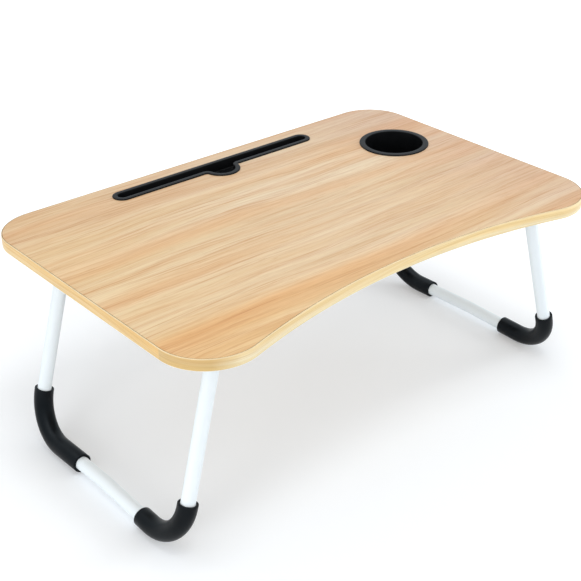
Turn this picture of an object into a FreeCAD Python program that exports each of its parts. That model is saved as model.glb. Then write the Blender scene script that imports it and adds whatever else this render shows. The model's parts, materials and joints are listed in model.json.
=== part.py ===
import FreeCAD, Part
import math
import os
import re
import Sketcher
from enum import IntEnum

# A low laptop table with two folding U legs.
# The top is a core board with a decor laminate above, a balancing laminate below and a band round
# its edge. It holds a tablet slot insert and a cup holder insert. Each leg is one bent tube that
# turns on two rivets, each in a moulded bracket screwed under the top. A lip in the bracket stops
# the open leg, which leans outwards. The leg folds in until it lies flat under the top.
# Millimetres, Z up, X along the length, front at minus Y, origin on the floor under the middle.

# Driving sizes, in millimetres, angles in degrees.
SIZES = {
    # Table top
    "table_length": 600.0,
    "table_depth": 400.0,
    "back_corner_radius": 54.0,
    "front_corner_radius": 58.0,
    "belly_depth": 35.0,
    "core_thickness": 12.0,
    "laminate_thickness": 0.8,
    "band_thickness": 1.0,
    "band_round": 0.6,
    # Tablet slot, measured over the flange of its insert
    "slot_length": 300.0,
    "slot_width": 25.0,
    "slot_from_back": 33.5,
    "slot_flange": 6.0,
    "notch_radius": 17.0,
    "notch_forward": 11.0,
    "notch_blend": 9.0,
    "insert_wall": 1.5,
    "insert_floor": 1.5,
    "insert_fit": 0.4,
    "flange_thickness": 1.6,
    "flange_round": 0.7,
    "slot_recess": 1.0,
    # Cup holder
    "cup_from_right": 80.0,
    "cup_from_back": 125.0,
    "cup_flange_diameter": 90.0,
    "cup_bore_diameter": 75.0,
    "cup_foot_diameter": 71.0,
    "cup_depth": 42.0,
    "cup_neck": 20.0,
    "cup_wall": 1.6,
    "cup_floor": 2.0,
    "cup_floor_round": 4.0,
    # Leg frames
    "leg_tilt": 15.5,
    "pivot_from_end": 63.0,
    "pivot_from_front": 56.8,
    "pivot_from_back": 64.8,
    "pivot_depth": 15.0,
    "leg_length": 223.5,
    "foot_flare": 4.6,
    "bend_radius": 50.0,
    "crossbar_rise": 4.5,
    "crossbar_bend_radius": 150.0,
    "tube_diameter": 16.0,
    "tube_wall": 1.2,
    "tube_stub": 6.0,
    # Tube plugs
    "plug_cap": 1.4,
    "plug_length": 22.0,
    "plug_fit": 0.15,
    "plug_round": 0.6,
    # Foot sleeves: straight stretch up the leg and in along the crossbar, past the bend
    "sleeve_wall": 3.0,
    "sleeve_fit": 0.2,
    "sleeve_round": 0.8,
    "sleeve_left_front_up": 3.0,
    "sleeve_left_front_along": 16.5,
    "sleeve_left_back_up": 0.5,
    "sleeve_left_back_along": 45.0,
    "sleeve_right_front_up": 6.5,
    "sleeve_right_front_along": 27.0,
    "sleeve_right_back_up": 3.0,
    "sleeve_right_back_along": 24.0,
    # Hinge rivets and their washers
    "rivet_diameter": 6.0,
    "rivet_play": 0.06,
    "rivet_seat_play": 0.02,
    "rivet_head_diameter": 11.0,
    "rivet_head_height": 2.4,
    "rivet_roll_diameter": 9.6,
    "rivet_roll_height": 1.6,
    "rivet_washer_diameter": 13.0,
    "rivet_washer_thickness": 1.0,
    "saddle_diameter": 14.0,
    "saddle_lip": 1.2,
    "saddle_fit": 0.15,
    "saddle_play": 0.1,
    # Hinge brackets
    "bracket_inner_length": 38.0,
    "bracket_outer_length": 34.0,
    "bracket_width": 32.0,
    "bracket_base": 3.0,
    "bracket_corner_radius": 6.0,
    "bracket_round": 0.8,
    "cheek_round": 1.0,
    "cheek_thickness": 3.5,
    "cheek_radius": 9.5,
    "cheek_inner_reach": 20.0,
    "cheek_outer_reach": 19.0,
    "lip_thickness": 3.0,
    "lip_start": 7.7,
    "lip_end": 13.0,
    "lip_play": 0.3,
    # Bracket screws
    "screw_diameter": 3.5,
    "screw_head_diameter": 7.0,
    "screw_head_recess": 0.2,
    "screw_length": 12.0,
    "screw_tip": 2.5,
    "screw_fit": 0.1,
    "screw_end_margin": 7.0,
    "screw_side_margin": 6.0,
    "pilot_extra": 0.5,
}

# Sizes worked out from the driving ones.
WORKED = {
    "top_thickness": "core_thickness + 2 * laminate_thickness",
    "pivot_span": "table_length - 2 * pivot_from_end",
    "pivot_spread": "table_depth - pivot_from_front - pivot_from_back",
    "foot_spread": "pivot_spread + 2 * foot_flare",
    "leg_forward": "(pivot_from_back - pivot_from_front) / 2",
    "belly_span": "((table_length / 2 - front_corner_radius)^2 + belly_depth^2) / (2 * belly_depth)",
    "belly_radius": "belly_span - front_corner_radius",
    "slot_middle_y": "table_depth / 2 - slot_from_back",
    "slot_half": "slot_length / 2 - slot_width / 2",
    "slot_bore_half": "slot_width / 2 - slot_flange",
    "cup_x": "table_length / 2 - cup_from_right",
    "cup_y": "table_depth / 2 - cup_from_back",
    "splay": "atan(foot_flare / leg_length) / 1 deg",
    "rise": "atan(2 * crossbar_rise / foot_spread) / 1 deg",
    "bend_turn": "90 + splay + rise",
    "bend_tangent": "bend_radius * tan(bend_turn / 2 * 1 deg)",
    "lowest_reach": "leg_length - bend_radius * ((cos(splay * 1 deg) + sin(rise * 1 deg))"
                    " / cos((splay + rise) * 1 deg) - 1)",
    "sleeve_radius": "tube_diameter / 2 + sleeve_fit + sleeve_wall",
    "pivot_height": "lowest_reach * cos(leg_tilt * 1 deg) + sleeve_radius",
    "underside_height": "pivot_height + pivot_depth",
    "top_height": "underside_height + top_thickness",
    "cheek_gap_half": "tube_diameter / 2 + saddle_lip + saddle_play",
    "cheek_face": "cheek_gap_half + cheek_thickness",
    "base_face": "pivot_depth - bracket_base",
    "screw_grip": "screw_length - bracket_base",
    "screw_y": "bracket_width / 2 - screw_side_margin",
    "screw_inner_x": "bracket_inner_length - screw_end_margin",
    "screw_outer_x": "bracket_outer_length - screw_end_margin",
    "tube_start": "tube_stub * cos(splay * 1 deg)",
    "tube_start_spread": "pivot_spread / 2 - tube_stub * sin(splay * 1 deg)",
}

X_AXIS = FreeCAD.Vector(1, 0, 0)
Y_AXIS = FreeCAD.Vector(0, 1, 0)
Z_AXIS = FreeCAD.Vector(0, 0, 1)
RIGHT_ANGLE = 90
HALF_TURN = 180
FULL_TURN = 360
NEAR_SHARE = 1e-6

doc = FreeCAD.newDocument("laptop_table")
pieces = []


class At(IntEnum):
    """Sketcher's numbers for the points of a line or an arc."""

    START = 1
    END = 2
    CENTRE = 3


class Own(IntEnum):
    """Sketcher's numbers for a sketch's own axes. The flat one starts at the origin."""

    FLAT = -1
    UPRIGHT = -2


# Sheets and formulas

def qualify(formula):
    """Put the name of its sheet before each alias in a formula."""
    def full_name(match):
        word = match.group()
        if word in SIZES:
            return "Sizes." + word
        if word in WORKED:
            return "Worked." + word
        return word
    return re.sub(r"[A-Za-z_]+", full_name, formula)


def fill_sheets():
    """Write the driving sizes as plain numbers and the worked ones as formulas."""
    sizes = doc.addObject("Spreadsheet::Sheet", "Sizes")
    for row, (alias, number) in enumerate(SIZES.items(), start=1):
        sizes.set(f"A{row}", alias)
        sizes.set(f"B{row}", str(number))
        sizes.setAlias(f"B{row}", alias)
    doc.recompute()
    worked = doc.addObject("Spreadsheet::Sheet", "Worked")
    for row, (alias, formula) in enumerate(WORKED.items(), start=1):
        worked.set(f"A{row}", alias)
        worked.setAlias(f"B{row}", alias)
        worked.set(f"B{row}", "=" + qualify(formula))
    doc.recompute()
    return worked


def value(formula):
    """Give the number that a formula comes to."""
    result = worked_sheet.evalExpression(qualify(formula))
    return float(getattr(result, "Value", result))


def bind(thing, prop, formula):
    """Tie a property to a formula."""
    thing.setExpression(prop, qualify(formula))


# Sketches

def new_body(name, placement=None):
    """Start a body that becomes one piece."""
    body = doc.addObject("PartDesign::Body", name)
    body.Label = name
    if placement is not None:
        body.Placement = placement
    pieces.append(body)
    return body


def new_sketch(body, name, role, lift="0"):
    """Start a sketch on an origin plane of its body, lifted along the plane's normal."""
    sketch = body.newObject("Sketcher::SketchObject", f"{body.Name}_{name}")
    plane = [item for item in body.Origin.OriginFeatures if item.Role == role][0]
    sketch.AttachmentSupport = (plane, [""])
    sketch.MapMode = "FlatFace"
    if lift != "0":
        bind(sketch, "AttachmentOffset.Base.z", lift)
    return sketch


def place_point(sketch, geometry, point, x, y):
    """Hold a point of a sketch at formulas for its two coordinates."""
    if x == "0" and y == "0":
        sketch.addConstraint(Sketcher.Constraint("Coincident", geometry, point, Own.FLAT, At.START))
        return
    for kind, axis, formula in (("DistanceX", Own.UPRIGHT, x), ("DistanceY", Own.FLAT, y)):
        if formula == "0":
            sketch.addConstraint(Sketcher.Constraint("PointOnObject", geometry, point, axis))
        else:
            rule = Sketcher.Constraint(kind, Own.FLAT, At.START, geometry, point, value(formula))
            bind(sketch, f"Constraints[{sketch.addConstraint(rule)}]", formula)


def set_radius(sketch, geometry, formula):
    """Hold the radius of a circle or an arc."""
    rule = Sketcher.Constraint("Radius", geometry, value(formula))
    bind(sketch, f"Constraints[{sketch.addConstraint(rule)}]", formula)


def spot(x, y):
    """Give the sketch point at two formulas."""
    return FreeCAD.Vector(value(x), value(y), 0)


def add_circle(sketch, x, y, radius):
    """Draw a circle."""
    circle = sketch.addGeometry(Part.Circle(spot(x, y), Z_AXIS, value(radius)))
    place_point(sketch, circle, At.CENTRE, x, y)
    set_radius(sketch, circle, radius)
    return circle


def add_polygon(sketch, corners):
    """Draw a closed polygon through corners given as pairs of formulas."""
    spots = [spot(x, y) for x, y in corners]
    ahead = spots[1:] + spots[:1]
    lines = [sketch.addGeometry(Part.LineSegment(a, b)) for a, b in zip(spots, ahead)]
    for line, (x, y) in zip(lines, corners):
        place_point(sketch, line, At.START, x, y)
    for line, following in zip(lines, lines[1:] + lines[:1]):
        sketch.addConstraint(Sketcher.Constraint("Coincident", line, At.END, following, At.START))
    return lines


def add_rectangle(sketch, left, right, low, high):
    """Draw a rectangle between formulas for its sides."""
    return add_polygon(sketch, [(left, low), (right, low), (right, high), (left, high)])


def add_arc(sketch, centre, radius, start, end):
    """Draw an arc, anticlockwise from one point to another, without holding its ends."""
    middle = spot(*centre)
    angles = [math.atan2(p.y - middle.y, p.x - middle.x) for p in (start, end)]
    circle = Part.Circle(middle, Z_AXIS, value(radius))
    return sketch.addGeometry(Part.ArcOfCircle(circle, angles[0], angles[1]))


def join(sketch, first, first_end, second, second_end, smooth=True):
    """Join two ends, smoothly or at a corner."""
    kind = "Tangent" if smooth else "Coincident"
    sketch.addConstraint(Sketcher.Constraint(kind, first, first_end, second, second_end))


def add_bent_path(sketch, corners, radii):
    """Draw a run of straight lines joined by arcs, held by its unbent corners."""
    spots = [spot(x, y) for x, y in corners]
    guides = [sketch.addGeometry(Part.LineSegment(a, b), True) for a, b in zip(spots, spots[1:])]
    for guide, corner in zip(guides, corners):
        place_point(sketch, guide, At.START, *corner)
    place_point(sketch, guides[-1], At.END, *corners[-1])
    for guide, following in zip(guides, guides[1:]):
        join(sketch, guide, At.END, following, At.START, smooth=False)
    bends = []
    for before, corner, after, radius in zip(spots, spots[1:], spots[2:], radii):
        back = (before - corner).normalize()
        ahead = (after - corner).normalize()
        half = back.getAngle(ahead) / 2
        reach = value(radius) / math.tan(half)
        middle = corner + (back + ahead).normalize() * (value(radius) / math.sin(half))
        bends.append((corner + back * reach, middle, corner + ahead * reach))
    starts = [spots[0]] + [bend[2] for bend in bends]
    ends = [bend[0] for bend in bends] + [spots[-1]]
    lines = [sketch.addGeometry(Part.LineSegment(a, b)) for a, b in zip(starts, ends)]
    for number, (line, guide) in enumerate(zip(lines, guides)):
        for end, is_tip in ((At.START, number == 0), (At.END, line == lines[-1])):
            if is_tip:
                join(sketch, line, end, guide, end, smooth=False)
            else:
                sketch.addConstraint(Sketcher.Constraint("PointOnObject", line, end, guide))
    for number, ((start, middle, end), radius) in enumerate(zip(bends, radii)):
        turns_left = (start - middle).cross(end - middle).z > 0
        first, last = (start, end) if turns_left else (end, start)
        angles = [math.atan2(p.y - middle.y, p.x - middle.x) for p in (first, last)]
        circle = Part.Circle(middle, Z_AXIS, value(radius))
        arc = sketch.addGeometry(Part.ArcOfCircle(circle, angles[0], angles[1]))
        join(sketch, lines[number], At.END, arc, At.START if turns_left else At.END)
        join(sketch, lines[number + 1], At.START, arc, At.END if turns_left else At.START)
        set_radius(sketch, arc, radius)


# Features

def pad(body, sketch, length, both_ways=False, reverse=False):
    """Raise a sketch into a solid."""
    feature = body.newObject("PartDesign::Pad", sketch.Name + "_pad")
    feature.Profile = sketch
    bind(feature, "Length", length)
    feature.Midplane = both_ways
    feature.Reversed = reverse
    doc.recompute()
    return feature


def pocket(body, sketch, depth=None, both_ways=False, reverse=False):
    """Cut a sketch out of the solid and make sure that something was cut."""
    before = body.Tip.Shape.Volume
    feature = body.newObject("PartDesign::Pocket", sketch.Name + "_pocket")
    feature.Profile = sketch
    if depth is None:
        feature.Type = "ThroughAll"
    else:
        bind(feature, "Length", depth)
    feature.Midplane = both_ways
    feature.Reversed = reverse
    doc.recompute()
    if not feature.Shape.Volume < before * (1 - NEAR_SHARE):
        raise RuntimeError(f"{feature.Name} cuts nothing")
    return feature


def edge_names(shape, test):
    """Name the edges that a test picks."""
    return [f"Edge{n}" for n, edge in enumerate(shape.Edges, start=1) if test(edge)]


def soften(body, kind, name, size, test):
    """Round or chamfer the edges that a test picks."""
    base = body.Tip
    names = edge_names(base.Shape, test)
    if not names:
        raise RuntimeError(f"{body.Name} has no edge for {name}")
    feature = body.newObject(f"PartDesign::{kind}", f"{body.Name}_{name}")
    feature.Base = (base, names)
    bind(feature, "Radius" if kind == "Fillet" else "Size", size)
    doc.recompute()
    return feature


def same(first, second):
    """Tell whether two lengths are equal but for rounding."""
    return abs(first - second) < NEAR_SHARE * value("table_length")


def lies_at(edge, height):
    """Tell whether an edge lies flat at one height."""
    box = edge.BoundBox
    return same(box.ZMin, height) and same(box.ZMax, height)


def is_circle(edge, radius):
    """Tell whether an edge is part of a circle of one radius."""
    return isinstance(edge.Curve, Part.Circle) and same(edge.Curve.Radius, radius)


# Outlines of the table top

def draw_table_outline(sketch, inset):
    """Draw the edge of the top, moved inwards by an inset: rounded corners and a hollow front."""
    back = f"(back_corner_radius - {inset})"
    front = f"(front_corner_radius - {inset})"
    belly = f"(belly_radius + {inset})"
    side_x = "(table_length / 2 - {0})"
    corners = {
        "back_right": (side_x.format("back_corner_radius"), "table_depth / 2 - back_corner_radius"),
        "back_left": ("-" + side_x.format("back_corner_radius"), "table_depth / 2 - back_corner_radius"),
        "front_left": ("-" + side_x.format("front_corner_radius"),
                       "-(table_depth / 2 - front_corner_radius)"),
        "front_right": (side_x.format("front_corner_radius"),
                        "-(table_depth / 2 - front_corner_radius)"),
    }
    middle = {name: spot(*place) for name, place in corners.items()}
    back_reach = value(back)
    front_reach = value(front)
    belly_middle = FreeCAD.Vector(0, value("-table_depth / 2 + belly_depth - belly_radius"), 0)
    left_lean = (middle["front_left"] - belly_middle).normalize() * front_reach
    right_lean = (middle["front_right"] - belly_middle).normalize() * front_reach
    ends = {
        "back_right": (X_AXIS * back_reach, Y_AXIS * back_reach),
        "back_left": (Y_AXIS * back_reach, X_AXIS * -back_reach),
        "front_left": (X_AXIS * -front_reach, left_lean * -1),
        "front_right": (right_lean * -1, X_AXIS * front_reach),
    }
    arcs = {}
    for name, (start, end) in ends.items():
        radius = back if name.startswith("back") else front
        arcs[name] = add_arc(sketch, corners[name], radius, middle[name] + start, middle[name] + end)
        place_point(sketch, arcs[name], At.CENTRE, *corners[name])
        set_radius(sketch, arcs[name], radius)
    for first, second in (("back_right", "back_left"), ("back_left", "front_left"),
                          ("front_right", "back_right")):
        start = middle[first] + ends[first][1]
        end = middle[second] + ends[second][0]
        line = sketch.addGeometry(Part.LineSegment(start, end))
        join(sketch, arcs[first], At.END, line, At.START)
        join(sketch, line, At.END, arcs[second], At.START)
    circle = Part.Circle(belly_middle, Z_AXIS, value(belly))
    span = math.atan2(left_lean.x, left_lean.y)
    quarter = math.radians(RIGHT_ANGLE)
    hollow = sketch.addGeometry(Part.ArcOfCircle(circle, quarter + span, quarter - span))
    join(sketch, arcs["front_left"], At.END, hollow, At.END)
    join(sketch, arcs["front_right"], At.START, hollow, At.START)
    set_radius(sketch, hollow, belly)


def draw_slot_outline(sketch, grow):
    """Draw the tablet slot with its blended finger notch, the bore grown outwards on all sides."""
    half = f"(slot_bore_half + {grow})"
    notch = f"(notch_radius + {grow})"
    blend = f"(notch_blend - {grow})"
    low = value(f"slot_middle_y - {half}")
    high = value(f"slot_middle_y + {half}")
    reach = value("slot_half")
    middle = FreeCAD.Vector(0, value("slot_middle_y - notch_forward"), 0)
    blend_y = value(f"slot_middle_y - {half} - {blend}")
    blend_x = math.sqrt(value(f"{notch} + {blend}") ** 2 - (blend_y - middle.y) ** 2)
    left_low, left_high = FreeCAD.Vector(-reach, low, 0), FreeCAD.Vector(-reach, high, 0)
    right_low, right_high = FreeCAD.Vector(reach, low, 0), FreeCAD.Vector(reach, high, 0)
    right_end = add_arc(sketch, ("slot_half", "slot_middle_y"), half, right_low, right_high)
    left_end = add_arc(sketch, ("-slot_half", "slot_middle_y"), half, left_high, left_low)
    place_point(sketch, right_end, At.CENTRE, "slot_half", "slot_middle_y")
    place_point(sketch, left_end, At.CENTRE, "-slot_half", "slot_middle_y")
    set_radius(sketch, right_end, half)
    set_radius(sketch, left_end, half)
    back = sketch.addGeometry(Part.LineSegment(right_high, left_high))
    join(sketch, right_end, At.END, back, At.START)
    join(sketch, back, At.END, left_end, At.START)
    touches = {}
    for way in (-1, 1):
        blend_middle = FreeCAD.Vector(way * blend_x, blend_y, 0)
        lean = (blend_middle - middle).normalize()
        touches[way] = middle + lean * value(notch)
    finger = add_arc(sketch, ("0", "slot_middle_y - notch_forward"), notch, touches[-1], touches[1])
    place_point(sketch, finger, At.CENTRE, "0", "slot_middle_y - notch_forward")
    set_radius(sketch, finger, notch)
    for way, slot_end, corner in ((-1, left_end, left_low), (1, right_end, right_low)):
        near, far = (At.START, At.END) if way < 0 else (At.END, At.START)
        shoulder = FreeCAD.Vector(way * blend_x, low, 0)
        front = sketch.addGeometry(Part.LineSegment(corner, shoulder))
        join(sketch, slot_end, far, front, At.START)
        sketch.addConstraint(Sketcher.Constraint("Horizontal", front))
        blend_middle = FreeCAD.Vector(way * blend_x, blend_y, 0)
        spots = (touches[way], shoulder) if way < 0 else (shoulder, touches[way])
        angles = [math.atan2(p.y - blend_middle.y, p.x - blend_middle.x) for p in spots]
        circle = Part.Circle(blend_middle, Z_AXIS, value(blend))
        ease = sketch.addGeometry(Part.ArcOfCircle(circle, angles[0], angles[1]))
        join(sketch, front, At.END, ease, far)
        join(sketch, ease, near, finger, near)
        set_radius(sketch, ease, blend)


# Places of the legs and hinges

SIDES = {"left": -1, "right": 1}
ENDS = {"front": -1, "back": 1}


def leg_placement(side):
    """Place a leg drawn flat: its X runs down the leg from the pivots, its Y stays along the axis."""
    spot_x = SIDES[side] * value("pivot_span / 2")
    place = FreeCAD.Vector(spot_x, -value("leg_forward"), value("pivot_height"))
    angle = RIGHT_ANGLE - SIDES[side] * value("leg_tilt")
    return FreeCAD.Placement(place, FreeCAD.Rotation(Y_AXIS, angle))


def hinge_placement(side, end):
    """Place what a hinge holds: origin on the axis, X towards the middle of the table."""
    place = FreeCAD.Vector(SIDES[side] * value("pivot_span / 2"),
                           ENDS[end] * value("pivot_spread / 2") - value("leg_forward"),
                           value("pivot_height"))
    angle = HALF_TURN if SIDES[side] > 0 else 0
    return FreeCAD.Placement(place, FreeCAD.Rotation(Z_AXIS, angle))


def screw_spots():
    """List the four screws of a bracket in its own frame, as pairs of formulas."""
    return [(x, y) for x in ("-screw_outer_x", "screw_inner_x") for y in ("-screw_y", "screw_y")]


# Table top

def make_board_layer(name, height, thickness, screw_depth=None):
    """Make one layer of the top inside the edge band, with its slot, cup hole and screw holes."""
    body = new_body(name)
    bind(body, "Placement.Base.z", height)
    outline = new_sketch(body, "outline", "XY_Plane")
    draw_table_outline(outline, "band_thickness")
    pad(body, outline, thickness)
    slot = new_sketch(body, "slot", "XY_Plane")
    draw_slot_outline(slot, "insert_wall + insert_fit")
    pocket(body, slot, reverse=True)
    cup = new_sketch(body, "cup_hole", "XY_Plane")
    add_circle(cup, "cup_x", "cup_y", "cup_bore_diameter / 2 + cup_wall + insert_fit")
    pocket(body, cup, reverse=True)
    if screw_depth is not None:
        holes = new_sketch(body, "screw_holes", "XY_Plane")
        for side, way in SIDES.items():
            for end, along in ENDS.items():
                for x, y in screw_spots():
                    add_circle(holes, f"{way} * (pivot_span / 2 - ({x}))",
                               f"{along} * pivot_spread / 2 - leg_forward - ({way} * ({y}))",
                               "screw_diameter / 2 + screw_fit")
        pocket(body, holes, screw_depth, reverse=True)
    return body


def make_edge_band():
    """Make the band that is glued round the edge, flush with both laminates."""
    body = new_body("edge_band")
    bind(body, "Placement.Base.z", "underside_height")
    ring = new_sketch(body, "ring", "XY_Plane")
    draw_table_outline(ring, "0")
    draw_table_outline(ring, "band_thickness")
    pad(body, ring, "top_thickness")
    shape = body.Tip.Shape
    heights = (0, value("top_thickness"))
    rims = [face.OuterWire for face in shape.Faces
            if isinstance(face.Surface, Part.Plane) and any(lies_at(face, z) for z in heights)]
    soften(body, "Fillet", "rims", "band_round",
           lambda edge: any(edge.isSame(rim) for wire in rims for rim in wire.Edges))
    return body


def make_tablet_slot_insert():
    """Make the moulded trough that holds a tablet upright, with its flange and finger notch."""
    body = new_body("tablet_slot_insert")
    bind(body, "Placement.Base.z", "top_height")
    flange = new_sketch(body, "flange", "XY_Plane")
    draw_slot_outline(flange, "slot_flange")
    pad(body, flange, "flange_thickness")
    trough = new_sketch(body, "trough", "XY_Plane")
    draw_slot_outline(trough, "insert_wall")
    pad(body, trough, "top_thickness - slot_recess", reverse=True)
    bore = new_sketch(body, "bore", "XY_Plane", "flange_thickness")
    draw_slot_outline(bore, "0")
    pocket(body, bore, "flange_thickness + top_thickness - slot_recess - insert_floor")
    top = value("flange_thickness")
    soften(body, "Fillet", "lips", "flange_round", lambda edge: lies_at(edge, top))
    return body


def make_cup_holder_insert():
    """Make the moulded cup, straight at its neck and tapered below, turned about its own axis."""
    body = new_body("cup_holder_insert")
    bind(body, "Placement.Base.x", "cup_x")
    bind(body, "Placement.Base.y", "cup_y")
    bind(body, "Placement.Base.z", "top_height")
    wall = new_sketch(body, "wall", "XZ_Plane")
    add_polygon(wall, [
        ("0", "-cup_depth"),
        ("cup_foot_diameter / 2", "-cup_depth"),
        ("cup_bore_diameter / 2", "-cup_neck"),
        ("cup_bore_diameter / 2", "flange_thickness"),
        ("cup_flange_diameter / 2", "flange_thickness"),
        ("cup_flange_diameter / 2", "0"),
        ("cup_bore_diameter / 2 + cup_wall", "0"),
        ("cup_bore_diameter / 2 + cup_wall", "-cup_neck"),
        ("cup_foot_diameter / 2 + cup_wall", "-cup_depth - cup_floor"),
        ("0", "-cup_depth - cup_floor"),
    ])
    turned = body.newObject("PartDesign::Revolution", "cup_turned")
    turned.Profile = wall
    turned.ReferenceAxis = (wall, ["V_Axis"])
    turned.Angle = FULL_TURN
    doc.recompute()
    floor_low = value("-cup_depth - cup_floor")
    floor_high = value("-cup_depth")
    lip = value("flange_thickness")
    soften(body, "Fillet", "foot", "cup_floor_round + cup_floor", lambda edge: lies_at(edge, floor_low))
    soften(body, "Fillet", "well", "cup_floor_round", lambda edge: lies_at(edge, floor_high))
    soften(body, "Fillet", "lips", "flange_round", lambda edge: lies_at(edge, lip))
    return body


# Hinges

def make_bracket(side, end):
    """Make a moulded bracket: base plate, two cheeks round the tube, and the lip it leans on."""
    body = new_body(f"hinge_bracket_{side}_{end}", hinge_placement(side, end))
    base = new_sketch(body, "base", "XY_Plane", "base_face")
    add_rectangle(base, "-bracket_outer_length", "bracket_inner_length",
                  "-bracket_width / 2", "bracket_width / 2")
    pad(body, base, "bracket_base")
    soften(body, "Fillet", "corners", "bracket_corner_radius",
           lambda edge: same(edge.BoundBox.ZLength, value("bracket_base")))
    soften(body, "Fillet", "rim", "bracket_round", lambda edge: lies_at(edge, value("base_face")))
    cheeks = new_sketch(body, "cheeks", "XZ_Plane")
    draw_cheek(cheeks)
    pad(body, cheeks, "2 * cheek_face", both_ways=True)
    outer_face = value("cheek_face")
    soften(body, "Fillet", "cheek_rims", "cheek_round",
           lambda edge: same(edge.BoundBox.YLength, 0) and same(abs(edge.BoundBox.YMin), outer_face)
           and not lies_at(edge, value("base_face")))
    gap = new_sketch(body, "gap", "XZ_Plane")
    draw_gap(gap)
    pocket(body, gap, "2 * cheek_gap_half", both_ways=True)
    bore = new_sketch(body, "bore", "XZ_Plane")
    add_circle(bore, "0", "0", "rivet_diameter / 2 + rivet_seat_play")
    pocket(body, bore, "3 * cheek_face", both_ways=True)
    holes = new_sketch(body, "holes", "XY_Plane", "base_face")
    for x, y in screw_spots():
        add_circle(holes, x, y, "screw_diameter / 2 + screw_fit")
    pocket(body, holes, reverse=True)
    sink = value("screw_diameter / 2 + screw_fit")
    face = value("base_face")
    soften(body, "Chamfer", "sinks", "(screw_head_diameter - screw_diameter) / 2",
           lambda edge: is_circle(edge, sink) and lies_at(edge, face))
    return body


def lip_corner(across, along):
    """Give a corner of the lip: across from the leg's axis and down along the open leg."""
    return (f"-({across}) * cos(leg_tilt * 1 deg) - ({along}) * sin(leg_tilt * 1 deg)",
            f"({across}) * sin(leg_tilt * 1 deg) - ({along}) * cos(leg_tilt * 1 deg)")


def tangent_spot(outside, radius, way):
    """Find where a line from a point outside touches a circle round the origin."""
    lean = math.atan2(outside.y, outside.x) + way * math.acos(radius / outside.Length)
    return FreeCAD.Vector(radius * math.cos(lean), radius * math.sin(lean), 0)


def draw_cheek(sketch):
    """Draw the side of the cheeks: down from the base to the lip, round the pivot and back up."""
    near = "tube_diameter / 2 + lip_play"
    far = f"{near} + lip_thickness"
    corners = [
        ("cheek_inner_reach", "base_face"),
        ("-cheek_outer_reach", "base_face"),
        lip_corner(far, "lip_end"),
        lip_corner(near, "lip_end"),
    ]
    spots = [spot(x, y) for x, y in corners]
    radius = value("cheek_radius")
    low = tangent_spot(spots[-1], radius, 1)
    high = tangent_spot(spots[0], radius, -1)
    lines = [sketch.addGeometry(Part.LineSegment(a, b)) for a, b in zip(spots, spots[1:] + [low])]
    for line, corner in zip(lines, corners):
        place_point(sketch, line, At.START, *corner)
    for line, following in zip(lines, lines[1:]):
        join(sketch, line, At.END, following, At.START, smooth=False)
    round_end = add_arc(sketch, ("0", "0"), "cheek_radius", low, high)
    place_point(sketch, round_end, At.CENTRE, "0", "0")
    set_radius(sketch, round_end, "cheek_radius")
    join(sketch, lines[-1], At.END, round_end, At.START)
    rise = sketch.addGeometry(Part.LineSegment(high, spots[0]))
    join(sketch, round_end, At.END, rise, At.START)
    join(sketch, rise, At.END, lines[0], At.START, smooth=False)


def draw_gap(sketch):
    """Draw what is cut from between the cheeks, all but the lip."""
    near = "tube_diameter / 2 + lip_play"
    add_polygon(sketch, [
        ("-bracket_outer_length", "base_face"),
        lip_corner(f"{near} + 2 * lip_thickness", "lip_start"),
        lip_corner(near, "lip_start"),
        lip_corner(near, "2 * lip_end"),
        ("bracket_inner_length", "-2 * cheek_radius"),
        ("bracket_inner_length", "base_face"),
    ])


def make_rivet(side, end):
    """Make a pivot rivet with a domed head outside one cheek and a rolled head outside the other."""
    body = new_body(f"hinge_rivet_{side}_{end}", hinge_placement(side, end))
    profile = new_sketch(body, "profile", "XY_Plane")
    shank = "rivet_diameter / 2"
    head_drop = "((rivet_head_diameter / 2)^2 - rivet_head_height^2) / (2 * rivet_head_height)"
    head_middle = f"cheek_face - {head_drop}"
    head_top = "cheek_face + rivet_head_height"
    roll_face = "-cheek_face - rivet_washer_thickness"
    roll_end = f"{roll_face} - rivet_roll_height"
    corners = [
        ("0", roll_end),
        ("rivet_roll_diameter / 2 - rivet_roll_height / 2", roll_end),
        ("rivet_roll_diameter / 2", roll_face),
        (shank, roll_face),
        (shank, "cheek_face"),
        ("rivet_head_diameter / 2", "cheek_face"),
    ]
    spots = [spot(x, y) for x, y in corners]
    top = spot("0", head_top)
    lines = [profile.addGeometry(Part.LineSegment(a, b)) for a, b in zip(spots, spots[1:])]
    for line, corner in zip(lines, corners):
        place_point(profile, line, At.START, *corner)
    place_point(profile, lines[-1], At.END, *corners[-1])
    for line, following in zip(lines, lines[1:]):
        join(profile, line, At.END, following, At.START, smooth=False)
    dome = add_arc(profile, ("0", head_middle), f"{head_top} - ({head_middle})", spots[-1], top)
    place_point(profile, dome, At.CENTRE, "0", head_middle)
    join(profile, lines[-1], At.END, dome, At.START, smooth=False)
    axis = profile.addGeometry(Part.LineSegment(top, spots[0]))
    join(profile, dome, At.END, axis, At.START, smooth=False)
    join(profile, axis, At.END, lines[0], At.START, smooth=False)
    profile.addConstraint(Sketcher.Constraint("Vertical", axis))
    turned = body.newObject("PartDesign::Revolution", body.Name + "_turned")
    turned.Profile = profile
    turned.ReferenceAxis = (profile, ["V_Axis"])
    turned.Angle = FULL_TURN
    doc.recompute()
    return body


def make_rivet_washer(side, end):
    """Make the steel washer under a rivet's rolled head."""
    body = new_body(f"rivet_washer_{side}_{end}", hinge_placement(side, end))
    ring = new_sketch(body, "ring", "XZ_Plane", "cheek_face")
    add_circle(ring, "0", "0", "rivet_washer_diameter / 2")
    add_circle(ring, "0", "0", "rivet_diameter / 2 + rivet_seat_play")
    pad(body, ring, "rivet_washer_thickness")
    return body


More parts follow.
